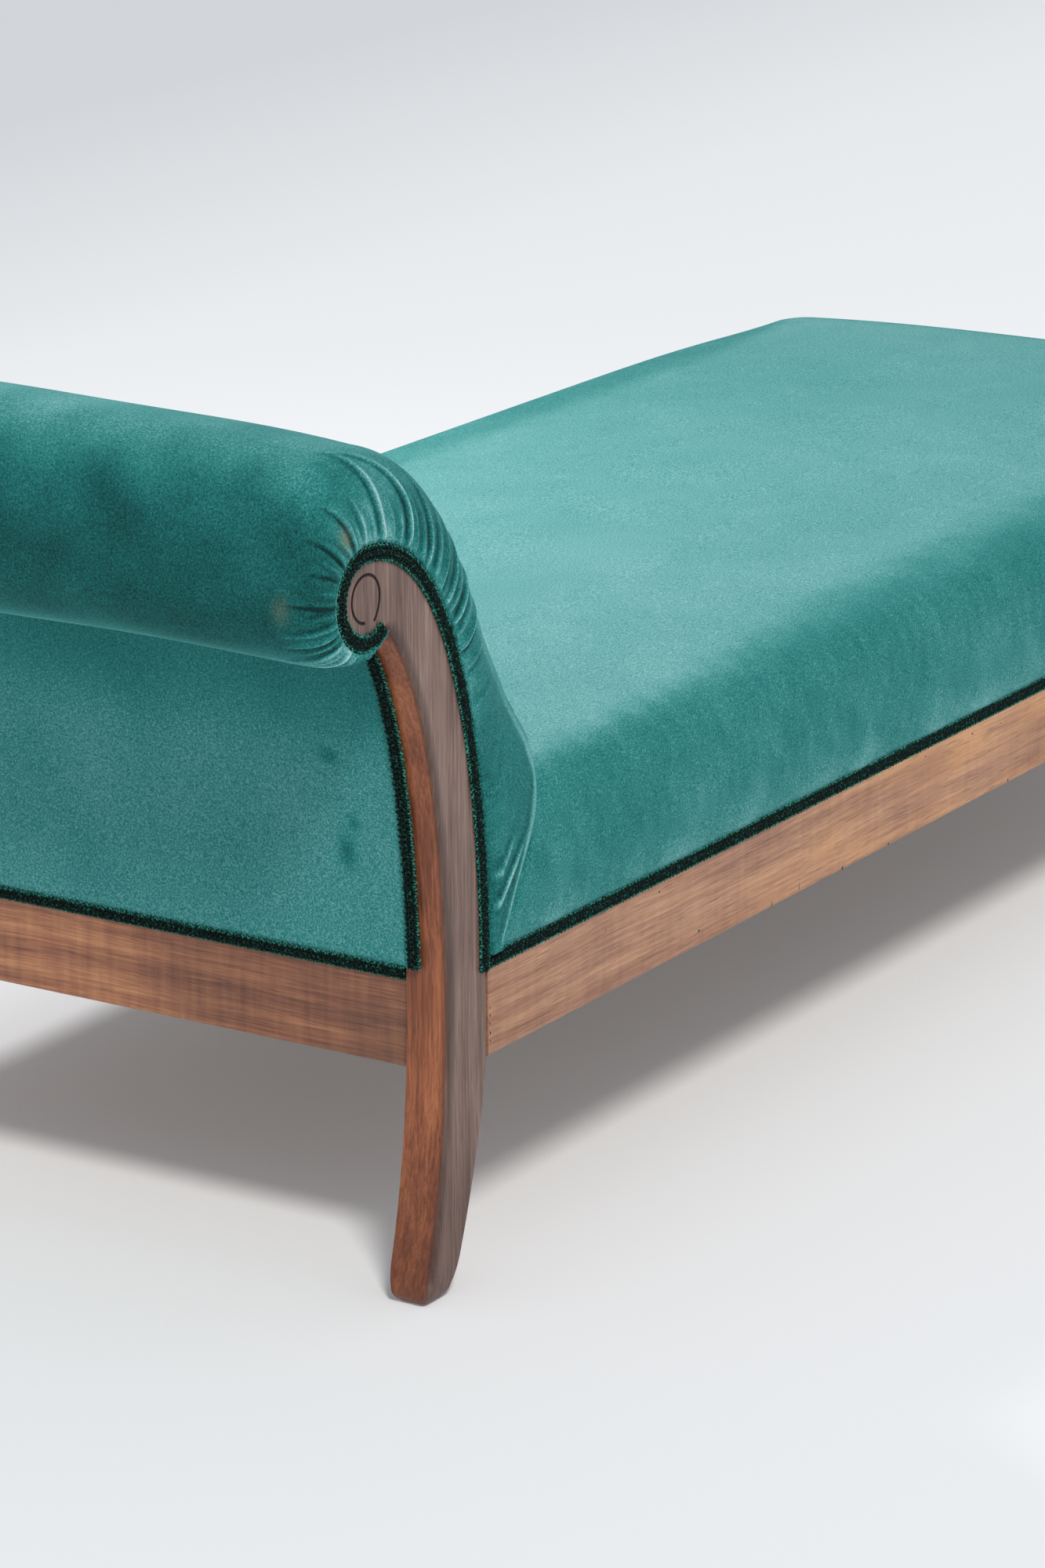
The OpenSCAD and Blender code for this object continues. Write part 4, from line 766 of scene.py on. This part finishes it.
def seat_cover():
    skirt_z, shoulder_z = FRAME_TOP + 0.5, SEAT_TOP - SHOULDER_R
    rings = []
    for t in steps(22):
        swell = 5.2 * math.sin(math.pi * min(1.0, 0.06 + 0.94 * t)) ** 0.75
        rings.append(seat_round((1 - t) ** 3 - swell, skirt_z + t * (shoulder_z - skirt_z), FINE))
    for t in steps(14)[1:]:
        a = t * math.pi / 2
        rings.append(seat_round(SHOULDER_R * (1 - math.cos(a)) ** 1.08, shoulder_z + SHOULDER_R * math.sin(a), FINE))
    for t in steps(16)[1:]:
        share = t ** 1.35
        rings.append(seat_round(SHOULDER_R + (SIDE - SHOULDER_R) * 0.93 * share,
                                SEAT_TOP + CROWN * (1 - (1 - share) ** 2.1), FINE))
    rings.append(seat_round(SIDE, SEAT_TOP + CROWN, FINE))
    grid = np.stack(rings)
    # x, y and z are views of the grid, so what is added to them moves its points
    x, y, z = grid[..., 0], grid[..., 1], grid[..., 2]
    # the velvet goes down into the tuck at the head, and is drawn in softly between its tacks
    from_tuck = x - tuck_x(z)
    z -= 15 * np.exp(-np.maximum(from_tuck, 0) / 16) * held((z - SEAT_TOP + 30) / 40)
    rng = random.Random(3)
    pull, shade = np.zeros_like(x), np.zeros_like(x)
    outer = np.abs(y) > SIDE - 30
    up, at = z - FRAME_TOP, 160.0
    while at < LENGTH - 80:
        wide, high, lean = rng.uniform(16, 38), rng.uniform(0.5, 1.5), rng.uniform(-0.25, 0.7)
        line = high * bell(x - at - lean * up, wide) * np.exp(-up / rng.uniform(28, 60)) * outer
        pull += line
        # each pull is painted lighter along its ridge: a painted highlight
        shade += 0.10 * line
        at += rng.uniform(60, 150)
    y += np.sign(y) * (pull - 0.6)
    slow = 1.6 * np.sin(x / 141) * np.sin(y / 97 + 1) + 1.2 * np.sin(x / 263 + 2) * np.cos(y / 171)
    z += slow * held((z - SEAT_TOP) / 12) * held(from_tuck / 60)
    # painted highlight: the side is painted lighter just above the rail, where its pile lies up
    shade += 0.08 * bell(z - FRAME_TOP, 26) * (np.abs(y) > SIDE - 30)
    # painted light: the top is painted lighter than the sides, and darker towards the foot and the back
    inset, turned = np.minimum(SIDE - np.abs(y), LENGTH - x), z > shoulder_z
    shade -= 0.05 * soft((x + 0.6 * y - 350) / 1100) * turned
    over = inset + (SEAT_TOP - z) * 0.7
    softer = soft((x - 150) / 800) * (inset < SIDE) * held((LENGTH - 60 - x) / 200)
    drift = 4 * clouds(x, over, 26, 5) + 2 * clouds(x, over, 9, 6) * bell(inset, 70)
    # painted light: the back edge is painted lighter than the front edge
    lit_back = 0.55 * held(y / 200) * held((z - SEAT_TOP) / SHOULDER_R + 1)
    painted_top_light = soft((inset - 12 - 6 * softer - drift) / (46 + 62 * softer)) * turned
    shade += 0.25 * np.maximum(painted_top_light, lit_back)
    shade += (0.022 * clouds(x, over, 15, 9) + 0.014 * clouds(x, over * 0.2, 6, 14)) * bell(inset, 55)
    # the seat's corner gives way to the flank's bulge
    station = 0.36 * (z - FRAME_TOP) / 132
    x += TUCK_BULGE * bell(station - 0.19, 0.075) * flank_share(y) * np.exp(-np.maximum(from_tuck, 0) / 30)
    # it stands a little fuller than drawn, and less so at the foot corners
    fuller = 5.5 - 9 * bell(LENGTH - 50 - x, 190) * held(np.abs(y) / 360) ** 3
    z += fuller * soft((z - FRAME_TOP - 20) / 90) * held(from_tuck / 40)
    inner = [seat_round(inset, at, FINE, 18.0) for inset, at in ((33.0, 387.8), (18.0, 378.0), (18.0, skirt_z))]
    padding("seat_velvet", round_again(np.concatenate([np.stack(inner), grid])), "velvet", SEAT_VELVET,
            "seat_cover", {"painted_light_and_tone": round_again(np.pad(shade, ((len(inner), 0), (0, 0))))})


# ---- the outside back
def spine_rows(near, n=70):
    """The posts' head-facing edge from the rail to just under the roll, moved outwards."""
    line = spine(steps(n * 4))
    line = line[line[:, 1] >= FRAME_TOP - 0.5]
    line = line[np.linalg.norm(line - SCROLL, axis=1) > SCROLL_R + 4.2]
    line = line[np.linspace(0, len(line) - 1, n + 1).astype(int)]
    return line + near * left_of(line)


def back_panel(name, near, half, thick, material, slot, node):
    line = spine_rows(near)
    whole = xyz(line[:, :1], np.linspace(-half, half, 161), line[:, 1:])
    y, z = whole[..., 1], whole[..., 2]
    # painted shade: the pile is painted darker towards the top, under the roll; slow clouds of tone; and three dark
    # smudges
    painted_light_and_tone = -0.20 * soft((z - 440) / 110) + 0.012 * clouds(y, z, 50, 4)
    for at, up, wide, high, deep in ((-301, 459, 8, 6, 0.22), (-309, 376, 7, 13, 0.26), (-318, 402, 5, 7, 0.18)):
        painted_light_and_tone -= deep * bell(y - at, wide) * bell(z - up, high)
    made = piece_from(name, grid_mesh(name, whole, fields={"painted_light_and_tone": painted_light_and_tone}), slot, material, replaces=[node])
    thickened(made, thick)


# ---- gimp
def braid(node, line, across, out):
    """Scroll gimp 13 mm wide: a flat dark web, two dark cords that cross between two straight ones, and a row
    of small loops along each edge. line runs down its middle; across and out are unit directions."""
    across, out = (np.broadcast_to(np.asarray(way, float), line.shape) for way in (across, out))
    run = np.concatenate([[0], np.cumsum(np.linalg.norm(np.diff(line, axis=0), axis=1))])
    total = run[-1]

    def carried(s, sideways, lifted):
        at, ax, ox = (np.stack([np.interp(s, run, path[:, k]) for k in range(3)], 1) for path in (line, across, out))
        return at + ax * sideways + ox * lifted

    def laid(offset, lift, pitch, swing, bob, per, phase=0.0):
        s = np.linspace(0, total, max(8, int(total / pitch * per)))
        a = 2 * np.pi * s / pitch + phase
        return carried(s, (offset + swing * np.sin(a))[:, None], (lift + bob * np.cos(a * 2 + 0.4))[:, None])

    cords = [laid(0, 2.2, 9.5, 2.1, 0.8, 10, phase) for phase in (0.0, math.pi)]
    cords += [laid(offset, 1.5, 5.2, 0.7, 0.5, 7) for offset in (4.0, -4.0)]
    loops = [laid(offset, 1.4, 5.2, 1.5, 0.6, 8) for offset in (5.8, -5.8)]
    name = node + "_laid_"
    tubes(name + "cords", cords, 1.15, 6, "gimp", GIMP_DARK, [node])
    tubes(name + "loops", loops, 0.75, 4, "gimp", GIMP_BRIGHT)
    s = np.linspace(0, total, max(4, int(total / 6)))
    section = ((-4.8, 0.15), (-4.8, 0.8), (4.8, 0.8), (4.8, 0.15), (-4.8, 0.15))
    web = grid_mesh(name + "web", np.stack([carried(s, a, b) for a, b in section], 1), closed=True)
    piece_from(name + "web", web, "gimp", GIMP_DARK, smooth=False)


def gimps():
    mid = RAIL_TOP + GIMP_W / 2
    for side, word in ((-1, "front"), (1, "back")):
        line = xyz(np.linspace(POST_W + 1, LENGTH - 1, 60), side * (SIDE - GIMP_SUNK), mid)
        braid("gimp_%s_rail" % word, line, (0, 0, 1), (0, side, 0))
        # up the inner edge of the post, round the scroll and over to the notch
        point, normal = edge_line(np.concatenate([np.linspace(0, 1, 90), np.linspace(1, 1.985, 90)[1:]]))
        point = np.concatenate([[(POST_W - GIMP_W / 2, RAIL_TOP + 1)], point - (GIMP_W / 2 - CLEAR) * normal])
        normal = np.concatenate([[(1, 0)], normal])
        braid("gimp_scroll_" + word, upright(point, side * (SIDE + 0.05)), upright(normal, 0), (0, side, 0))
        # down the edge of the outside back
        edge = spine_rows(1.9, 40)
        line = upright(edge, side * (SIDE - GIMP_MARGIN - GIMP_W / 2))
        braid("gimp_back_edge_" + word, line, (0, 1, 0), upright(left_of(edge), 0))
    braid("gimp_foot_rail", xyz(LENGTH - GIMP_SUNK, np.linspace(-SIDE + 3, SIDE - 3, 30), mid), (0, 0, 1), (1, 0, 0))
    # at the head it leans over the edge of the outside back
    lean = math.atan2(REVEAL + 2.4, GIMP_W)
    braid("gimp_head_rail", xyz(-1.6, np.linspace(-INNER + 1, INNER - 1, 30), mid + 0.8),
          (-math.sin(lean), 0, math.cos(lean)), (-math.cos(lean), 0, -math.sin(lean)))


# ---- springing
SPRING_COLS, SPRING_ROWS, SPRING_H, SPRING_TURNS = 6, 3, 120.0, 3.5
SPRING_END_R, SPRING_WAIST_R, WIRE_R, TWINE_R = 44.0, 29.0, 2.0, 1.25
WEB_W, WEB_T, WEAVE = 50.0, 2.0, 2.3
# half a wire's height, with its six sides as drawn
WIRE_HALF = WIRE_R * math.sin(math.radians(60))
SEAT_FROM = TUCK_FOOT + CLEAR
SPRING_IN = RAIL_T + SPRING_END_R * 1.95
TIE_IN = RAIL_T + CLEAR
COLS = np.linspace(SEAT_FROM + SPRING_IN, LENGTH - SPRING_IN, SPRING_COLS)
ROWS = np.linspace(-(SIDE - SPRING_IN - 25), SIDE - SPRING_IN - 25, SPRING_ROWS)
WEB_XS = np.linspace(COLS[0], COLS[-1], 2 * SPRING_COLS - 1)
WEB_YS = np.linspace(ROWS[0], ROWS[-1], 5)
# the springs' end turns dip a little where the web goes down between two cross webs
WEB_DIP = 2 * WEAVE * (SPRING_END_R - WEB_W / 2 - WEB_T) / (WEB_XS[1] - WEB_XS[0] - WEB_W - 2 * WEB_T)
SPRING_Z = RAIL_Z + WEAVE - WEB_DIP + CLEAR + WIRE_HALF
TWINE_Z = SPRING_Z + SPRING_H + WIRE_HALF + CLEAR + TWINE_R
HESSIAN_Z = TWINE_Z + 2 * TWINE_R + CLEAR
SLOPE = SPRING_IN - SPRING_END_R - WIRE_R - CLEAR - TIE_IN


def springs():
    """Waisted coils of 4 mm wire, each one tube, their end turns lying nearly flat."""
    u = steps(int(24 * SPRING_TURNS))
    radius = SPRING_WAIST_R + (SPRING_END_R - SPRING_WAIST_R) * np.cos(np.pi * u) ** 2
    height = SPRING_H * (u - 0.62 * np.sin(2 * np.pi * u) / (2 * np.pi))
    a = 2 * np.pi * SPRING_TURNS * u
    for y, word in zip(ROWS, ("front", "middle", "back")):
        lines = [xyz(x + way * radius * np.cos(a), y + way * radius * np.sin(a), SPRING_Z + height)
                 for x, way in zip(COLS, (1, -1) * SPRING_COLS)]
        node = "springs_%s_row" % word
        tubes(node + "_shown", lines, WIRE_R, 8, "spring_steel", SPRING_STEEL, [node])


def lashing():
    """Flax twine over every row and column of springs, tied down to the rails, with knots on each spring."""
    def tied(a, b, low, high):
        """Up from the rail at a, level over the springs and down again at b."""
        return (a, low), (a + SLOPE, high), (b - SLOPE, high), (b, low)

    low, tie = FRAME_TOP - 3.7, TIE_IN + 0.1
    lines = [[(x, y, z) for x, z in tied(SEAT_FROM + tie, LENGTH - tie, low, TWINE_Z)] for y in ROWS]
    lines += [[(x, y, z) for y, z in tied(tie - SIDE, SIDE - tie, low + 1, TWINE_Z + TWINE_R)] for x in COLS]
    tubes("lashing_laid", lines, 1.15, 6, "twine", TWINE, ["spring_lashing"])
    loop = np.array([(-3, 0, 0), (0, -1.6, -1.6), (2, 0, -2.2), (0, 1.6, -0.6), (-2, 0, 0.3)])
    knots = [loop + (x + dx, y, TWINE_Z) for x in COLS for y in ROWS for dx in (-SPRING_END_R, SPRING_END_R)]
    tubes("lashing_knots", knots, 0.9, 6, "twine", TWINE)


def joined(name, grids, slot, material, node, thick):
    """Several open strips as one piece with thickness."""
    bm = bmesh.new()
    for grid in grids:
        part = grid_mesh(name + "_part", grid)
        bm.from_mesh(part)
        bpy.data.meshes.remove(part)
    made = piece_from(name, mesh_of(bm, name), slot, material, replaces=[node])
    thickened(made, thick)
    return made


def webbing():
    z, half, tack_in = RAIL_Z - 1.0, WEB_W / 2, 15.0
    along = []
    for j, y in enumerate(WEB_YS):
        line = [(tack_in, 0.0), (WEB_XS[0] - 37.5, 0.0)]
        for i, x in enumerate(WEB_XS):
            line += [(x + dx, WEAVE if (i + j) % 2 == 0 else -WEAVE) for dx in (-27, -9, 9, 27)]
        line = np.array(line + [(WEB_XS[-1] + 37.5, 0.0), (LENGTH - tack_in, 0.0)]) + (0, z)
        along.append(xyz(line[:, :1], np.linspace(y - half, y + half, 9), line[:, 1:]))
    joined("webs_along", along, "jute_webbing", JUTE, "seat_webbing_long", 1.9)
    across = [xyz(np.linspace(x - half, x + half, 9)[:, None], np.linspace(tack_in - SIDE, SIDE - tack_in, 41), z)
              for x in WEB_XS]
    joined("webs_across", across, "jute_webbing", JUTE, "seat_webbing_cross", 1.9)


def tacks():
    """Cut tacks through the webs' ends under the rails: three at each end."""
    spots = [(x + dx, side * (SIDE - 21 - (5 if dx == 0 else 0)))
             for x in WEB_XS for dx in (-17, 0, 17) for side in (-1, 1)]
    spots += [(end, y + dy) for y in WEB_YS for dy in (-17, 0, 17) for end in (22, LENGTH - 22)]
    beads("webbing_tacks", [(x, y, RAIL_Z - 2.15, 3, 3, 0.96) for x, y in spots], "screw_steel", TACK_STEEL, 8, 4)


def seat_hessian():
    """Hessian pulled over the lashed springs and down to the rails."""
    rings = []
    for inset, z in ((19.0, FRAME_TOP + 0.8), (26.5, FRAME_TOP + 0.9), (22.5 + SLOPE, HESSIAN_Z + 0.3),
                     (30.0 + SLOPE, HESSIAN_Z + 0.5), (180.0, HESSIAN_Z + 0.5), (SIDE - 20, HESSIAN_Z + 0.5)):
        flat = seat_round(inset, z, PLAIN)
        # the head end stands upright here, so each ring starts at its own inset from it
        was, start, end = flat[:, 0].min(), SEAT_FROM + inset, LENGTH - inset
        flat[:, 0] = start + (flat[:, 0] - was) * (end - start) / (end - was)
        rings.append(flat)
    mesh = grid_mesh("hessian_over_springs", round_again(np.stack(rings)))
    with opened(mesh) as bm:
        bmesh.ops.remove_doubles(bm, verts=bm.verts, dist=0.00002)
        top = [e for e in bm.edges if e.is_boundary and e.verts[0].co.z > (HESSIAN_Z - 2) / 1000]
        bmesh.ops.holes_fill(bm, edges=top, sides=0)
        bmesh.ops.recalc_face_normals(bm, faces=bm.faces)
        area = sum(f.calc_area() for f in bm.faces)
    made = piece_from("hessian_over_springs", mesh, "hessian", HESSIAN, replaces=["seat_hessian"])
    thickened(made, 0.8)


def seat_stuffing():
    foot_z, top_z = FRAME_TOP + 1.7, 387.0
    rings = [seat_round(inset, z, PLAIN, head_in) for inset, z, head_in in (
        (300, HESSIAN_Z + 1.8, 280), (29 + SLOPE, HESSIAN_Z + 1.8, SLOPE + 10), (26.0, foot_z + 0.4, 26),
        (18.6, foot_z, 18.6), (18.6, 340, 18.6), (18.6, 377, 18.6), (33.4, top_z, 18.6), (300, top_z, 280))]
    padding("seat_coir", round_again(np.stack(rings)), "stuffing", HAIR, "seat_stuffing")


def head_inside():
    """Webs, hessian and stuffing of the inner back, between the posts."""
    up = (BACK_HIGH - BACK_FOOT) / np.linalg.norm(BACK_HIGH - BACK_FOOT)
    first, top = BACK_FOOT + up * 14, BACK_HIGH

    def strip(back, y0, y1, n):
        line = np.linspace(first, top, 21) - np.array([up[1], -up[0]]) * back
        return xyz(line[:, :1], np.linspace(y0, y1, n), line[:, 1:])

    half, webs = INNER - 0.6, 5
    middles = [(i + 0.5) * 2 * half / webs - half for i in range(webs)]
    joined("webs_of_back", [strip(2.6, y - WEB_W / 2, y + WEB_W / 2, 9) for y in middles], "jute_webbing",
           JUTE_UPRIGHT, "head_webbing", 1.9)
    made = joined("hessian_of_back", [strip(0.8, -half, half, 41)], "hessian", HESSIAN_UPRIGHT, "head_hessian", 0.9)
    us = np.linspace(0.14, 1.68, 60)
    point, normal = edge_line(us)
    outer = point + (pad_depth(us) - 9.6)[:, None] * normal
    low = us < TUCK_SHARE
    outer[low] = np.stack([tuck_x(point[low, 1]) - 9.9, point[low, 1]], 1)
    inner = inner_line(us)
    inner += 0.2 * unit(outer - inner)
    half, drawn_in = INNER - 9.8, outer - 3 * normal
    section = ((-half, inner), (-half, drawn_in), (-half + 5, outer), (0, outer), (half - 5, outer),
               (half, drawn_in), (half, inner), (0, inner), (-half, inner))
    whole = np.stack([upright(line, y) for y, line in section], 1)
    padding("head_coir", whole, "stuffing", HAIR, "head_stuffing")


# ---- CAD pieces shown as they are
def carried_wood():
    inner = ("centre_bearer", "head_tacking_rail", "tuck_batten", "roll_batten", "rail_dowels", "corner_blocks")
    for names, material in ((("front_rail", "back_rail"), LONG_WOOD), (("head_rail", "foot_rail"), END_WOOD),
                            (inner, INNER_WOOD), (("corner_block_screws",), SCREW_STEEL)):
        for name in names:
            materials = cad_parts[name].data.materials
            materials.clear()
            materials.append(material)


def worm_and_tack_holes():
    """Small dark holes, and nicks along the lower edge, on the front rail."""
    face = min(corner[1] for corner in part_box("front_rail")) * 1000
    spots = ((60.5, 236, 0.7, 0.9), (60.8, 229, 0.8, 1.2), (60.4, 222, 0.9, 1.0), (60.7, 214, 1.0, 1.4),
             (60.5, 207, 0.8, 0.9), (398, 208, 1.5, 1.3), (331, 262, 1.6, 0.8), (526, 197, 0.5, 3.2),
             (655, 196, 1.6, 1.8), (575, 200, 0.4, 4.0), (742, 196, 1.5, 1.2), (905, 262, 1.8, 0.9),
             (963, 258, 0.8, 0.7), (812, 263, 1.4, 0.7), (980, 197, 1.0, 1.6), (243, 252, 0.8, 0.6))
    beads("worm_and_tack_holes", [(x, face, z, wide, 0.2, high) for x, z, wide, high in spots], "show_wood",
          GROOVE_DARK, 10, 6)


show_posts()
carried_wood()
worm_and_tack_holes()
head_cover()
seat_cover()
back_panel("outside_back_velvet", 0.9, SIDE - 27, 1.0, BACK_VELVET, "velvet", "outside_back_cover")
back_panel("outside_back_hessian", -0.9, INNER - 0.6, 0.8, HESSIAN_UPRIGHT, "hessian", "outside_back_lining")
gimps()
springs()
lashing()
webbing()
tacks()
seat_hessian()
seat_stuffing()
head_inside()


# ---- floor, light and camera
def aimed(made, way, stand=(0, 0, 0)):
    """Stands a light somewhere and turns it to shine one way."""
    made.matrix_world = Matrix.Translation(stand) @ Vector(way).to_track_quat("-Z", "Y").to_matrix().to_4x4()


def studio():
    bm = bmesh.new()
    bmesh.ops.create_grid(bm, x_segments=1, y_segments=1, size=40)
    floor = placed("floor", mesh_of(bm, "floor"))
    paper, tree, place = finish_of("pale_floor")
    # the pale backdrop: a little light of its own, for the eye and for gloss only
    ray = add(tree, "LightPath").outputs
    seen = ray["Is Camera Ray"]
    for kind in ("Is Glossy Ray", "Is Transmission Ray"):
        seen = add(tree, "Math", {0: seen, 1: ray[kind]}, operation="ADD").outputs[0]
    glow = add(tree, "Math", {0: seen, 1: 0.105}, operation="MULTIPLY").outputs[0]
    # painted shade: the floor is painted darker behind the couch, where the light falls off
    depth = add(tree, "SeparateXYZ", {"Vector": place}).outputs["Y"]
    behind = add(tree, "MapRange", {"Value": depth, "From Min": 0.8, "From Max": 3.4}).outputs[0]
    tone = add(tree, "ValToRGB", {"Fac": behind}, [(0.0, "#f5f5f5"), (0.5, "#efefef"), (1.0, "#d7d7d8")])
    shader = add(tree, "BsdfPrincipled", {
        "Base Color": tone.outputs["Color"], "Roughness": 0.7, "Specular IOR Level": 0.2,
        "Emission Color": "#ebf0f8", "Emission Strength": glow})
    add(tree, "OutputMaterial", {"Surface": shader.outputs[0]})
    floor.data.materials.append(paper)
    scene.world = bpy.data.worlds.new("studio")
    scene.world.use_nodes = True
    sky = scene.world.node_tree.nodes["Background"].inputs
    sky["Color"].default_value, sky["Strength"].default_value = linear("#e9f0fa"), 0.475
    key = bpy.data.lights.new("front_softbox", "SUN")
    key.energy, key.angle, key.color = 1.86, math.radians(11), (1.0, 0.98, 0.94)
    aimed(placed("front_softbox", key), (0.43, 0.48, -0.76))
    # a second softbox stands behind the couch and lights the floor there, up to under the back rail
    rim = bpy.data.lights.new("back_softbox", "AREA")
    rim.shape, rim.size, rim.energy = "DISK", 0.35, 18
    made = placed("back_softbox", rim)
    aimed(made, (0, 0.33 - 1.233, -1.6), (HEAD_X / 1000 + 0.6, 1.233, 1.6))
    made.visible_camera = False


def camera():
    """The photograph's viewpoint, from the perspective of the couch's straight edges."""
    yaw, pitch, roll = (math.radians(a) for a in (32.602, 16.729, -0.350))
    ahead = Vector((math.cos(pitch) * math.cos(yaw), math.cos(pitch) * math.sin(yaw), -math.sin(pitch)))
    right = ahead.cross(Vector((0, 0, 1))).normalized()
    above = right.cross(ahead)
    tilted = math.cos(roll) * right + math.sin(roll) * above
    upward = -math.sin(roll) * right + math.cos(roll) * above
    lens = bpy.data.cameras.new("viewpoint")
    lens.sensor_width, lens.lens, lens.clip_end = 36.0, 126.0, 200
    made = placed("viewpoint", lens)
    made.matrix_world = (Matrix.Translation(metres(-3536.3, -2333.6 - SIDE, 1447.4 + RAIL_TOP))
                         @ Matrix((tilted, upward, -ahead)).transposed().to_4x4())
    scene.camera = made


studio()
camera()
scene.view_settings.view_transform = "Standard"
